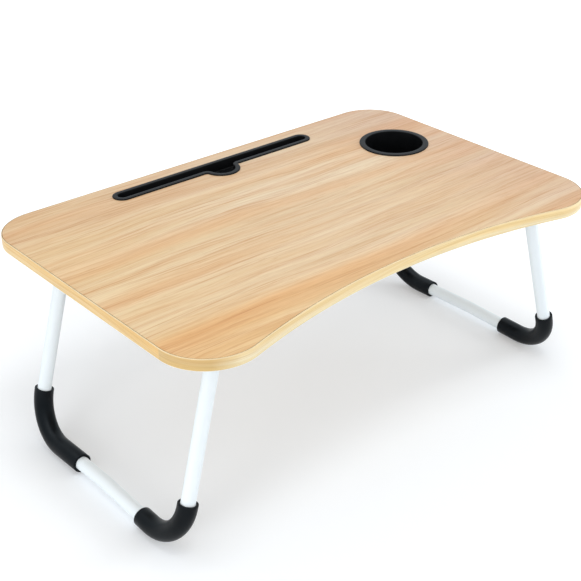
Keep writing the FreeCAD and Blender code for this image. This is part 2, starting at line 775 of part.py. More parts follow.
def make_bracket_screws(side, end):
    """Make the four countersunk wood screws of a bracket, as one group of separate solids."""
    screws = []
    for number, (x, y) in enumerate(screw_spots(), start=1):
        name = f"screw_{side}_{end}_{number}"
        head = doc.addObject("Part::Cone", name + "_head")
        bind(head, "Radius1", "screw_head_diameter / 2 - screw_head_recess")
        bind(head, "Radius2", "screw_diameter / 2")
        bind(head, "Height", "(screw_head_diameter - screw_diameter) / 2 - screw_head_recess")
        bind(head, "Placement.Base.z", "base_face + screw_head_recess")
        shank = doc.addObject("Part::Cylinder", name + "_shank")
        bind(shank, "Radius", "screw_diameter / 2")
        bind(shank, "Height", "screw_length - screw_tip - (screw_head_diameter - screw_diameter) / 2")
        bind(shank, "Placement.Base.z", "base_face + (screw_head_diameter - screw_diameter) / 2")
        tip = doc.addObject("Part::Cone", name + "_tip")
        bind(tip, "Radius1", "screw_diameter / 2")
        tip.Radius2 = 0
        bind(tip, "Height", "screw_tip")
        bind(tip, "Placement.Base.z", "base_face + screw_length - screw_tip")
        screw = doc.addObject("Part::MultiFuse", name)
        screw.Shapes = [head, shank, tip]
        bind(screw, "Placement.Base.x", x)
        bind(screw, "Placement.Base.y", y)
        screws.append(screw)
    group = doc.addObject("Part::Compound", f"bracket_screws_{side}_{end}")
    group.Label = group.Name
    group.Links = screws
    group.Placement = hinge_placement(side, end)
    pieces.append(group)
    return group


# Legs

def leg_path_corners():
    """List the corners of a leg's centreline from the front tip to the back tip, as formulas."""
    return [
        ("-tube_start", "-tube_start_spread"),
        ("leg_length", "-foot_spread / 2"),
        ("leg_length - crossbar_rise", "0"),
        ("leg_length", "foot_spread / 2"),
        ("-tube_start", "tube_start_spread"),
    ]


def add_pipe(body, name, profile, path):
    """Sweep a profile along a path."""
    pipe = body.newObject("PartDesign::AdditivePipe", f"{body.Name}_{name}")
    pipe.Profile = profile
    pipe.Spine = path
    doc.recompute()
    return pipe


def new_square_sketch(body, name, x, y, angle):
    """Start a sketch square to a leg's run: at a point of the leg's plane, turned in that plane."""
    sketch = new_sketch(body, name, "YZ_Plane")
    turn = FreeCAD.Rotation(Y_AXIS, value(angle))
    sketch.AttachmentOffset = FreeCAD.Placement(FreeCAD.Vector(value(y), 0, value(x)), turn)
    bind(sketch, "AttachmentOffset.Base.x", y)
    bind(sketch, "AttachmentOffset.Base.z", x)
    return sketch


def make_leg_tube(side):
    """Make one leg: a tube bent into a U, bored across both tips for its rivets."""
    body = new_body(f"leg_tube_{side}", leg_placement(side))
    path = new_sketch(body, "path", "XY_Plane")
    add_bent_path(path, leg_path_corners(), ["bend_radius", "crossbar_bend_radius", "bend_radius"])
    profile = new_square_sketch(body, "profile", "-tube_start", "-tube_start_spread", "-splay")
    add_circle(profile, "0", "0", "tube_diameter / 2")
    add_circle(profile, "0", "0", "tube_diameter / 2 - tube_wall")
    add_pipe(body, "pipe", profile, path)
    bore = new_sketch(body, "bore", "XZ_Plane")
    add_circle(bore, "0", "0", "rivet_diameter / 2 + rivet_play")
    pocket(body, bore, "2 * foot_spread", both_ways=True)
    return body


def make_tube_plug(side, end):
    """Make the moulded plug that closes a tube's tip and carries the rivet inside it."""
    body = new_body(f"tube_plug_{side}_{end}", leg_placement(side))
    way = ENDS[end]
    place = ("-tube_start", f"{way} * tube_start_spread", f"{way} * splay")
    spigot = new_square_sketch(body, "spigot", *place)
    add_circle(spigot, "0", "0", "tube_diameter / 2 - tube_wall - plug_fit")
    pad(body, spigot, "plug_length")
    cap = new_square_sketch(body, "cap", *place)
    add_circle(cap, "0", "0", "tube_diameter / 2")
    pad(body, cap, "plug_cap", reverse=True)
    rim = value("tube_diameter / 2")
    outer = min(edge.BoundBox.XMin for edge in body.Tip.Shape.Edges if is_circle(edge, rim))
    soften(body, "Fillet", "crown", "plug_round",
           lambda edge: is_circle(edge, rim) and same(edge.BoundBox.XMin, outer))
    bore = new_sketch(body, "bore", "XZ_Plane")
    add_circle(bore, "0", "0", "rivet_diameter / 2 + rivet_play")
    pocket(body, bore, "2 * foot_spread", both_ways=True)
    return body


def make_saddle_washers(side, end):
    """Make the two washers of a pivot: flat against the cheeks, hollowed to sit on the tube."""
    way = ENDS[end]
    name = f"saddle_washers_{side}_{end}"
    blank = doc.addObject("Part::Cylinder", name + "_blank")
    bind(blank, "Radius", "saddle_diameter / 2")
    bind(blank, "Height", "tube_diameter + 2 * saddle_lip")
    blank.Placement = FreeCAD.Placement(FreeCAD.Vector(), FreeCAD.Rotation(X_AXIS, -RIGHT_ANGLE))
    bind(blank, "Placement.Base.y", f"{way} * pivot_spread / 2 - tube_diameter / 2 - saddle_lip")
    seat = doc.addObject("Part::Cylinder", name + "_seat")
    bind(seat, "Radius", "tube_diameter / 2 + saddle_fit")
    bind(seat, "Height", "4 * saddle_diameter")
    lean = FreeCAD.Rotation(Z_AXIS, way * value("splay"))
    seat.Placement = FreeCAD.Placement(FreeCAD.Vector(), lean * FreeCAD.Rotation(Y_AXIS, RIGHT_ANGLE))
    bind(seat, "Placement.Base.x", "-2 * saddle_diameter * cos(splay * 1 deg)")
    bind(seat, "Placement.Base.y",
         f"{way} * (pivot_spread / 2 - 2 * saddle_diameter * sin(splay * 1 deg))")
    bore = doc.addObject("Part::Cylinder", name + "_bore")
    bind(bore, "Radius", "rivet_diameter / 2 + rivet_play")
    bind(bore, "Height", "2 * pivot_spread")
    bore.Placement = FreeCAD.Placement(FreeCAD.Vector(), FreeCAD.Rotation(X_AXIS, -RIGHT_ANGLE))
    bind(bore, "Placement.Base.y", "-pivot_spread")
    hollowed = doc.addObject("Part::Cut", name + "_hollowed")
    hollowed.Base = blank
    hollowed.Tool = seat
    washers = doc.addObject("Part::Cut", name)
    washers.Label = name
    washers.Base = hollowed
    washers.Tool = bore
    washers.Placement = leg_placement(side)
    pieces.append(washers)
    return washers


def make_foot_sleeve(side, end):
    """Make the rubber sleeve round one bend, pushed on a little differently at each foot."""
    body = new_body(f"foot_sleeve_{side}_{end}", leg_placement(side))
    way = ENDS[end]
    up = f"(bend_tangent + sleeve_{side}_{end}_up)"
    along = f"(bend_tangent + sleeve_{side}_{end}_along)"
    start = (f"leg_length - cos(splay * 1 deg) * {up}",
             f"{way} * (foot_spread / 2 - sin(splay * 1 deg) * {up})")
    finish = (f"leg_length - sin(rise * 1 deg) * {along}",
              f"{way} * (foot_spread / 2 - cos(rise * 1 deg) * {along})")
    path = new_sketch(body, "path", "XY_Plane")
    add_bent_path(path, [start, ("leg_length", f"{way} * foot_spread / 2"), finish], ["bend_radius"])
    profile = new_square_sketch(body, "profile", *start, f"{way} * splay")
    add_circle(profile, "0", "0", "sleeve_radius")
    add_circle(profile, "0", "0", "sleeve_radius - sleeve_wall")
    add_pipe(body, "pipe", profile, path)
    outer = value("sleeve_radius")
    end_edges = [edge for face in body.Tip.Shape.Faces if isinstance(face.Surface, Part.Plane)
                 for edge in face.Edges]
    soften(body, "Fillet", "rims", "sleeve_round",
           lambda edge: is_circle(edge, outer) and any(edge.isSame(rim) for rim in end_edges))
    return body


def check_and_export():
    """Stop at any failed object, then write each piece to its own file."""
    doc.recompute()
    for thing in doc.Objects:
        if any(state in ("Invalid", "Error") for state in thing.State):
            raise RuntimeError(f"{thing.Name} failed: {thing.State}")
    for piece in pieces:
        if piece.Shape.isNull() or not piece.Shape.isValid():
            raise RuntimeError(f"{piece.Label} has no valid shape")
    os.makedirs("parts", exist_ok=True)
    for piece in pieces:
        piece.Shape.exportStep(f"parts/{piece.Label}.step")
        print(f"{piece.Label}: {len(piece.Shape.Solids)} solid(s), {piece.Shape.Volume:.0f} mm3")


worked_sheet = fill_sheets()

make_board_layer("board_core", "underside_height + laminate_thickness", "core_thickness",
                 "screw_grip - laminate_thickness + pilot_extra")
make_board_layer("top_laminate", "top_height - laminate_thickness", "laminate_thickness")
make_board_layer("underside_laminate", "underside_height", "laminate_thickness", "laminate_thickness")
make_edge_band()
make_tablet_slot_insert()
make_cup_holder_insert()
for side_name in SIDES:
    make_leg_tube(side_name)
    for end_name in ENDS:
        make_bracket(side_name, end_name)
        make_rivet(side_name, end_name)
        make_rivet_washer(side_name, end_name)
        make_bracket_screws(side_name, end_name)
        make_tube_plug(side_name, end_name)
        make_saddle_washers(side_name, end_name)
        make_foot_sleeve(side_name, end_name)
check_and_export()
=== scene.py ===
"""The looks of a folding laptop table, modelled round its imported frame.

The top is a laminated board with a glued edge strip, a tablet slot and a cup holder. Each leg is a
coated tube with rubber sleeves on its bends, and turns on two rivets in brackets under the top.
Lengths are in metres unless a name says otherwise.
"""
import json
import logging
import math
from collections.abc import Callable, Iterable, Sequence
from dataclasses import dataclass
from enum import Enum, IntEnum

import bmesh
import bpy
from mathutils import Matrix, Vector


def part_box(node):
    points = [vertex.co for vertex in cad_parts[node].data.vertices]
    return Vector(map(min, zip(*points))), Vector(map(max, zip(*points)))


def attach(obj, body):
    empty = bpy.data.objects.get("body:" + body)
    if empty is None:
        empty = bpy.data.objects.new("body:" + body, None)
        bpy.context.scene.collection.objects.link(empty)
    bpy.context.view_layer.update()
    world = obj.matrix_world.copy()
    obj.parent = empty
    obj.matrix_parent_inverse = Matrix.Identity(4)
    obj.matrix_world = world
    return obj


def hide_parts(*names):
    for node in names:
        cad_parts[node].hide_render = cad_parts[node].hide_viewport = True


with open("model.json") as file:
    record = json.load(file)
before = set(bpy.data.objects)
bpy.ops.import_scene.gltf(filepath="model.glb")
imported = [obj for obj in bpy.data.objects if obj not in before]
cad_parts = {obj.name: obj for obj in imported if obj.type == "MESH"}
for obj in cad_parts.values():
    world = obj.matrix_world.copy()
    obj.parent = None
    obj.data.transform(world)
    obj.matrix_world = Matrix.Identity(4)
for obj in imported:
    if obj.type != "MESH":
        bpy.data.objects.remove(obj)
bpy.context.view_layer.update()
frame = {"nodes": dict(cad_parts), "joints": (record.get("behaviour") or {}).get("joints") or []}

MM = 0.001
SAME_PLACE = 0.01 * MM
Z_AXIS = Vector((0, 0, 1))
WHITE = (1, 1, 1, 1)
TOP = "tabletop"
Colour = tuple[float, float, float]
LOG = logging.getLogger("laptop_table")


class Way(Enum):
    """A choice between two opposite ends, as the sign of an axis."""

    @property
    def word(self) -> str:
        """Give its name in lower case."""
        return self.name.lower()


class Side(Way):
    """The two ends of the table's length, along X."""

    LEFT = -1
    RIGHT = 1


class End(Way):
    """The front and back of a leg, along Y."""

    FRONT = -1
    BACK = 1


class GrainPath(Enum):
    """What a printed wood grain runs along."""

    TABLE_LENGTH = "Object"
    STRIP = "UV"


class StripPart(IntEnum):
    """The material slots of the edge strip."""

    PRINT = 0
    GLUE = 1
    RIM = 2
    UNDER = 3


# Shader nodes


class Wiring:
    """Adds and joins the nodes of one tree."""

    def __init__(self, tree: bpy.types.NodeTree) -> None:
        """Take the tree of a material, a world or a node group."""
        self.tree = tree

    def add(self, kind: str, inputs: dict | None = None, **settings: object) -> bpy.types.Node:
        """Add a node and feed its sockets.

        Args:
            kind: the node's type name, without ShaderNode.
            inputs: socket name or number to a value or an output socket.
            settings: the node's own properties.

        Returns:
            The new node.
        """
        node = self.tree.nodes.new("ShaderNode" + kind)
        for key, setting in settings.items():
            setattr(node, key, setting)
        self.feed(node, inputs or {})
        return node

    def feed(self, node: bpy.types.Node, inputs: dict) -> None:
        """Set a node's sockets, or join output sockets to them.

        Args:
            node: the node.
            inputs: socket name or number to a value or an output socket.
        """
        for key, value in inputs.items():
            if isinstance(value, bpy.types.NodeSocket):
                self.tree.links.new(value, node.inputs[key])
            else:
                node.inputs[key].default_value = value

    def maths(self, operation: str, first: object, second: object = 0.0) -> bpy.types.NodeSocket:
        """Give the output of a Math node of two values."""
        return self.add("Math", {0: first, 1: second}, operation=operation).outputs[0]

    def times(self, first: object, second: object) -> bpy.types.NodeSocket:
        """Give the product of two values."""
        return self.maths("MULTIPLY", first, second)

    def spread(self, value: object, low: float, high: float,
               to_low: object = 0.0, to_high: object = 1.0) -> bpy.types.NodeSocket:
        """Map a value from one range onto another, clamped."""
        inputs = {0: value, 1: low, 2: high, 3: to_low, 4: to_high}
        return self.add("MapRange", inputs, clamp=True).outputs[0]

    def swing(self, noise: object, reach: object) -> bpy.types.NodeSocket:
        """Give how far a noise lies from its middle of a half, times a reach."""
        return self.times(self.maths("SUBTRACT", noise, 0.5), reach)

    def mix(self, share: object, first: object, second: object, blend: str = "MIX") -> bpy.types.NodeSocket:
        """Mix two colours by a share."""
        inputs = {0: share, 6: first, 7: second}
        return self.add("Mix", inputs, data_type="RGBA", blend_type=blend).outputs[2]

    def stretch(self, vector: object, scale: Sequence[float],
                shift: Sequence[float] = (0, 0, 0)) -> bpy.types.NodeSocket:
        """Scale and shift coordinates along the axes."""
        inputs = {"Vector": vector, "Location": tuple(shift), "Scale": tuple(scale)}
        return self.add("Mapping", inputs).outputs[0]

    def noise(self, vector: object, detail: float, roughness: float = 0.5) -> bpy.types.NodeSocket:
        """Give a noise of unit size in the coordinates given."""
        inputs = {"Vector": vector, "Scale": 1.0, "Detail": detail, "Roughness": roughness}
        return self.add("TexNoise", inputs).outputs[0]

    def bump(self, shader: bpy.types.Node, height: object, depth: float, strength: float) -> None:
        """Join a height to a shader's normal, where a height of 1 stands for the depth."""
        node = self.add("Bump", {"Height": height, "Distance": depth, "Strength": strength})
        self.feed(shader, {"Normal": node.outputs[0]})


@dataclass(frozen=True)
class Ramp:
    """A change from one level to another between two values, level beyond them."""

    start: float
    end: float
    low: float = 0.0
    high: float = 1.0

    def over(self, wiring: Wiring, value: object) -> bpy.types.NodeSocket:
        """Give the ramp's level at a value."""
        return wiring.spread(value, self.start, self.end, self.low, self.high)


@dataclass(frozen=True)
class Fade(Ramp):
    """A ramp along one axis of a print, in metres."""

    axis: int = 0


@dataclass(frozen=True)
class Tint:
    """A tone that multiplies a print's colour where its fades meet."""

    tone: Colour
    fades: tuple[Fade, ...]


@dataclass(frozen=True)
class GrainLayer:
    """Noise stretched along the grain, at a share of the band width, and spread over a ramp."""

    along: float
    share: float
    shift: float
    detail: float
    roughness: float
    ramp: Ramp

    def mask(self, wiring: Wiring, run: object, across: object, band_count: object) -> bpy.types.NodeSocket:
        """Build the layer's mask.

        Args:
            wiring: the wiring of the grain's group.
            run: the place along the grain.
            across: the place across it.
            band_count: how many bands go to a metre.

        Returns:
            The mask's socket.
        """
        wide = wiring.times(across, wiring.maths("DIVIDE", band_count, self.share))
        spot = wiring.add("CombineXYZ", {0: wiring.times(run, self.along), 1: wide, 2: self.shift})
        return self.ramp.over(wiring, wiring.noise(spot.outputs[0], self.detail, self.roughness))


LAYERS = {
    "bands": GrainLayer(2.1, 1.0, 3.3, 2, 0.5, Ramp(0.38, 0.62)),
    "warmth": GrainLayer(1.5, 1.9, 9.1, 1, 0.5, Ramp(0.42, 0.66)),
    "streaks": GrainLayer(9.5, 0.17, 5.7, 3, 0.55, Ramp(0.46, 0.74)),
    "lines": GrainLayer(11.0, 0.080, 2.3, 2, 0.50, Ramp(0.52, 0.70)),
    "groups": GrainLayer(4.5, 0.7, 6.1, 1, 0.5, Ramp(0.38, 0.62, 0.15)),
    "fibres": GrainLayer(42.0, 0.045, 1.9, 2, 0.6, Ramp(0.3, 0.7)),
    "pores": GrainLayer(55.0, 0.035, 7.7, 1, 0.5, Ramp(0.66, 0.74)),
}
MARK_SHARES = {"groups": 0.16, "streaks": 0.42, "lines": 0.68}
WARM_SHARE = 0.62
PORE_SHARE = 0.35
FIBRE_DARK = (0.94, 0.93, 0.92, 1)
FIBRE_LIGHT = (1.05, 1.05, 1.05, 1)
GRAIN_WAVES = (((2.6, 9, 1), 0.030), ((8, 26, 1), 0.0065))
WAVE_SHIFT = (3, 1, 0)
BROAD_GRIT = 38


def new_group(name: str, inputs: dict[str, float | Sequence[float]], outputs: dict[str, str],
              ) -> tuple[Wiring, bpy.types.bpy_prop_collection, bpy.types.Node]:
    """Start a shader node group.

    Args:
        name: the group's name.
        inputs: each input's name and first value: a number, three for a vector or four for a colour.
        outputs: each output's name and kind.

    Returns:
        The wiring of its tree, what it is given and its output node.
    """
    tree = bpy.data.node_groups.new(name, "ShaderNodeTree")
    for label, start in inputs.items():
        kind = "Float" if isinstance(start, float) else {3: "Vector", 4: "Color"}[len(start)]
        socket = tree.interface.new_socket(label, in_out="INPUT", socket_type="NodeSocket" + kind)
        socket.default_value = start
    for label, kind in outputs.items():
        tree.interface.new_socket(label, in_out="OUTPUT", socket_type="NodeSocket" + kind)
    return Wiring(tree), tree.nodes.new("NodeGroupInput").outputs, tree.nodes.new("NodeGroupOutput")


def build_grain_group() -> bpy.types.NodeTree:
    """Build printed wood grain: long soft bands, thin streaks and short pores along X.

    Returns:
        The group, whose coordinates are metres with X along the grain.
    """
    wiring, given, result = new_group(
        "wood_grain",
        {"Vector": (0, 0, 0), "Pale": WHITE, "Middle": WHITE, "Warm": WHITE, "Dark": WHITE,
         "Band Width": 0.02, "Contrast": 1.0},
        {"Color": "Color", "Pores": "Float"})
    run, across, _ = wiring.add("SeparateXYZ", {0: given["Vector"]}).outputs
    for scale, reach in GRAIN_WAVES:
        wave = wiring.noise(wiring.stretch(given["Vector"], scale, WAVE_SHIFT), 2)
        across = wiring.maths("ADD", across, wiring.swing(wave, reach))
    band_count = wiring.maths("DIVIDE", 1.0, given["Band Width"])
    masks = {name: layer.mask(wiring, run, across, band_count) for name, layer in LAYERS.items()}
    masks["lines"] = wiring.times(masks["lines"], masks["groups"])
    colour = wiring.mix(masks["bands"], given["Pale"], given["Middle"])
    colour = wiring.mix(wiring.times(masks["warmth"], WARM_SHARE), colour, given["Warm"])
    for name, share in MARK_SHARES.items():
        depth = wiring.times(masks[name], wiring.times(given["Contrast"], share))
        colour = wiring.mix(depth, colour, given["Dark"])
    darker, lighter = (wiring.mix(1.0, colour, tone, "MULTIPLY") for tone in (FIBRE_DARK, FIBRE_LIGHT))
    colour = wiring.mix(masks["fibres"], darker, lighter)
    colour = wiring.mix(wiring.times(masks["pores"], PORE_SHARE), colour, given["Dark"])
    wiring.feed(result, {"Color": colour, "Pores": masks["pores"]})
    return wiring.tree


def build_grit_group() -> bpy.types.NodeTree:
    """Build the fine unevenness of a moulded, coated or rubber skin.

    Returns:
        The group, with a height, a roughness and a tint mask that change over the surface.
    """
    wiring, given, result = new_group(
        "skin_grit",
        {"Vector": (0, 0, 0), "Grit Size": 0.001, "Roughness": 0.5, "Spread": 0.1},
        {"Height": "Float", "Roughness": "Float", "Tint": "Float"})
    count = wiring.maths("DIVIDE", 1.0, given["Grit Size"])
    close = wiring.add("VectorMath", {0: given["Vector"], "Scale": count}, operation="SCALE")
    broad = wiring.noise(wiring.stretch(given["Vector"], (BROAD_GRIT,) * 3), 4, 0.6)
    shift = wiring.swing(broad, given["Spread"])
    wiring.feed(result, {"Height": wiring.noise(close.outputs[0], 3, 0.6),
                         "Roughness": wiring.maths("ADD", given["Roughness"], shift),
                         "Tint": wiring.spread(broad, 0.3, 0.7)})
    return wiring.tree


GRAIN = build_grain_group()
GRIT = build_grit_group()


@dataclass(frozen=True)
class Finish:
    """A surface finish: the name of its material and its colour in linear light."""

    name: str
    slot: str
    colour: Colour

    def material(self) -> bpy.types.Material:
        """Give the material, made once.

        Returns:
            The material.
        """
        if self.name not in bpy.data.materials:
            made = bpy.data.materials.new(self.name)
            made.use_nodes = True
            made.diffuse_color = (*self.colour, 1)
            self.wire(Wiring(made.node_tree), made.node_tree.nodes["Principled BSDF"])
        return bpy.data.materials[self.name]

    def wire(self, wiring: Wiring, shader: bpy.types.Node) -> None:
        """Wire the material's shader. Each kind of finish has its own way."""
        raise NotImplementedError


@dataclass(frozen=True)
class WoodPrint(Finish):
    """A printed wood decor under a satin lacquer, with tints laid over set stretches of it, which on the top
    and the strip are mostly painted light and shade.
    """

    pale: Colour
    warm: Colour
    dark: Colour
    path: GrainPath = GrainPath.TABLE_LENGTH
    band_width: float = 0.020
    contrast: float = 1.0
    roughness: float = 0.42
    specular: float = 0.4
    pore_roughness: float = 0.2
    pore_depth: float = 0.08 * MM
    pore_strength: float = 0.25
    shift: Colour = (0.0, 0.0, 0.0)
    tints: tuple[Tint, ...] = ()

    def wire(self, wiring: Wiring, shader: bpy.types.Node) -> None:
        """Wire the shader to the wood grain group.

        Args:
            wiring: the wiring of the material's tree.
            shader: its Principled BSDF.
        """
        spot = wiring.add("TexCoord").outputs[self.path.value]
        spot = wiring.stretch(spot, (1, 1, 1), self.shift)
        tones = {"Pale": self.pale, "Middle": self.colour, "Warm": self.warm, "Dark": self.dark}
        given = {name: (*tone, 1) for name, tone in tones.items()}
        given |= {"Vector": spot, "Band Width": self.band_width, "Contrast": self.contrast}
        grain = wiring.add("Group", given, node_tree=GRAIN)
        place = wiring.add("SeparateXYZ", {0: spot})
        colour, pores = grain.outputs
        # Each tint multiplies the colour where its fades meet; most of them are painted light and shade, not
        # print.
        for tint in self.tints:
            share = 1.0
            for fade in tint.fades:
                share = wiring.times(share, fade.over(wiring, place.outputs[fade.axis]))
            colour = wiring.mix(share, colour, (*tint.tone, 1), "MULTIPLY")
        rough = wiring.spread(pores, 0, 1, self.roughness, self.roughness + self.pore_roughness)
        wiring.feed(shader, {"Base Color": colour, "Roughness": rough, "Specular IOR Level": self.specular})
        wiring.bump(shader, wiring.maths("SUBTRACT", 1.0, pores), self.pore_depth, self.pore_strength)


@dataclass(frozen=True)
class Skin(Finish):
    """A moulded, coated or rubber skin with a fine grit and a second, worn tone."""

    worn: Colour
    roughness: float = 0.5
    spread: float = 0.1
    grit_size: float = 0.6 * MM
    grit_depth: float = 0.05 * MM
    grit_strength: float = 0.5
    specular: float = 0.5
    tint: Colour = (1.0, 1.0, 1.0)
    metallic: float = 0.0

    def wire(self, wiring: Wiring, shader: bpy.types.Node) -> None:
        """Wire the shader to the grit group.

        Args:
            wiring: the wiring of the material's tree.
            shader: its Principled BSDF.
        """
        given = {"Vector": wiring.add("TexCoord").outputs["Object"], "Grit Size": self.grit_size,
                 "Roughness": self.roughness, "Spread": self.spread}
        grit = wiring.add("Group", given, node_tree=GRIT)
        colour = wiring.mix(grit.outputs["Tint"], (*self.colour, 1), (*self.worn, 1))
        wiring.feed(shader, {"Base Color": colour, "Roughness": grit.outputs["Roughness"],
                             "Specular IOR Level": self.specular, "Specular Tint": (*self.tint, 1),
                             "Metallic": self.metallic})
        wiring.bump(shader, grit.outputs["Height"], self.grit_depth, self.grit_strength)


# The top's tints are painted light and shade. They give a more orange front edge that is strongest at the
# left, a darker, redder back edge, a warmer left half and a darker, mauve right end, and stand in for warm
# and cool light falling across the top.
DECOR = WoodPrint(
    "oak_decor_print", "oak_decor", (0.785, 0.600, 0.376), pale=(0.860, 0.722, 0.515),
    warm=(0.795, 0.495, 0.262), dark=(0.560, 0.265, 0.095),
    tints=(Tint((1.00, 0.90, 0.76), (Fade(-0.120, -0.136, axis=1), Fade(-0.05, 0.25, 1.0, 0.25))),
           Tint((0.93, 0.87, 0.84), (Fade(0.110, 0.128, axis=1),)),
           Tint((1.02, 0.97, 0.84), (Fade(0.02, -0.26),)),
           Tint((0.93, 0.89, 0.94), (Fade(0.14, 0.27),))))
BACKING = WoodPrint(
    "oak_backing_print", "oak_backing", (0.67, 0.53, 0.39), pale=(0.74, 0.62, 0.48),
    warm=(0.63, 0.46, 0.31), dark=(0.48, 0.34, 0.22), contrast=0.7, roughness=0.6, shift=(0.7, 0.31, 0.0))
# The strip's first two tints are painted shade. They darken the band at the front left corner just past the
# seam, and from the left end of the back round the back left corner and along the left side. The third tint
# makes the upper part of the band a little warmer.
STRIP = WoodPrint(
    "oak_strip_print", "oak_band", (0.95, 0.810, 0.490), pale=(0.98, 0.92, 0.71),
    warm=(0.86, 0.62, 0.28), dark=(0.66, 0.46, 0.20), path=GrainPath.STRIP,
    band_width=0.005, contrast=1.3, roughness=0.38,
    tints=(Tint((0.76, 0.64, 0.46), (Fade(0.055, 0.085, 1.0, 0.0),)),
           Tint((0.92, 0.79, 0.60), (Fade(1.40, 1.55),)),
           Tint((0.99, 0.96, 0.90), (Fade(0.2440, 0.2500, axis=1),))))
# The rim's gold is painted light: a line that stands in for the rounded rim's highlight at the front and for
# its shade along the far edges.
STRIP_RIM_LIGHT_AND_SHADE = Skin("strip_rim", "oak_band", (0.76, 0.59, 0.34), (0.86, 0.70, 0.44))
STRIP_BODY = Skin("strip_body", "oak_band", (0.95, 0.86, 0.66), (0.93, 0.82, 0.60), roughness=0.45)
GLUE = Skin("glue_joint", "oak_band", (0.10, 0.07, 0.04), (0.15, 0.10, 0.06), roughness=0.8)
FIBRE = Skin("raw_fibreboard", "core_board", (0.42, 0.27, 0.15), (0.50, 0.34, 0.20), roughness=0.9,
             grit_size=1.2 * MM, grit_depth=0.2 * MM)
MOULDED = Skin("black_moulding", "black_plastic", (0.0045, 0.0050, 0.0055), (0.0080, 0.0085, 0.0095),
               roughness=0.30, spread=0.12, grit_size=0.5 * MM, grit_depth=0.04 * MM, specular=0.10,
               tint=(1.0, 0.94, 0.89))
COATED = Skin("white_powder_coat", "white_coat", (0.865, 0.932, 0.968), (0.875, 0.938, 0.968),
              roughness=0.42, spread=0.06, grit_size=1.6 * MM, grit_depth=0.03 * MM)
RUBBER = Skin("black_rubber_skin", "black_rubber", (0.0025, 0.0040, 0.0055), (0.0045, 0.0065, 0.0085),
              roughness=0.33, spread=0.14, grit_size=0.4 * MM, grit_depth=0.06 * MM, specular=0.11)
PLATED = Skin("zinc_plating", "bright_steel", (0.60, 0.61, 0.62), (0.50, 0.50, 0.50),
              roughness=0.28, spread=0.2, grit_size=0.5 * MM, grit_depth=0.02 * MM, metallic=1.0)
NYLON = Skin("natural_nylon", "white_nylon", (0.78, 0.76, 0.70), (0.72, 0.70, 0.63), roughness=0.45)


# Modelling with Blender's operators

SMOOTH_ANGLE = 35
CREASE_ANGLE = 50
FLAT_ANGLE = 0.5
MERGE_REACH = 0.002 * MM
ROUND_STEPS = 5
RING_SIDES = 48
BEND_ANGLE = 4
FEWEST_BEND_STEPS = 4


@dataclass(frozen=True)
class EdgePoint:
    """One corner of a section: how far out it lies, how high, and the radius that softens it."""

    out: float
    height: float
    radius: float = 0.0

    @property
    def place(self) -> Vector:
        """Give its place in the XZ plane."""
        return Vector((self.out, 0, self.height))


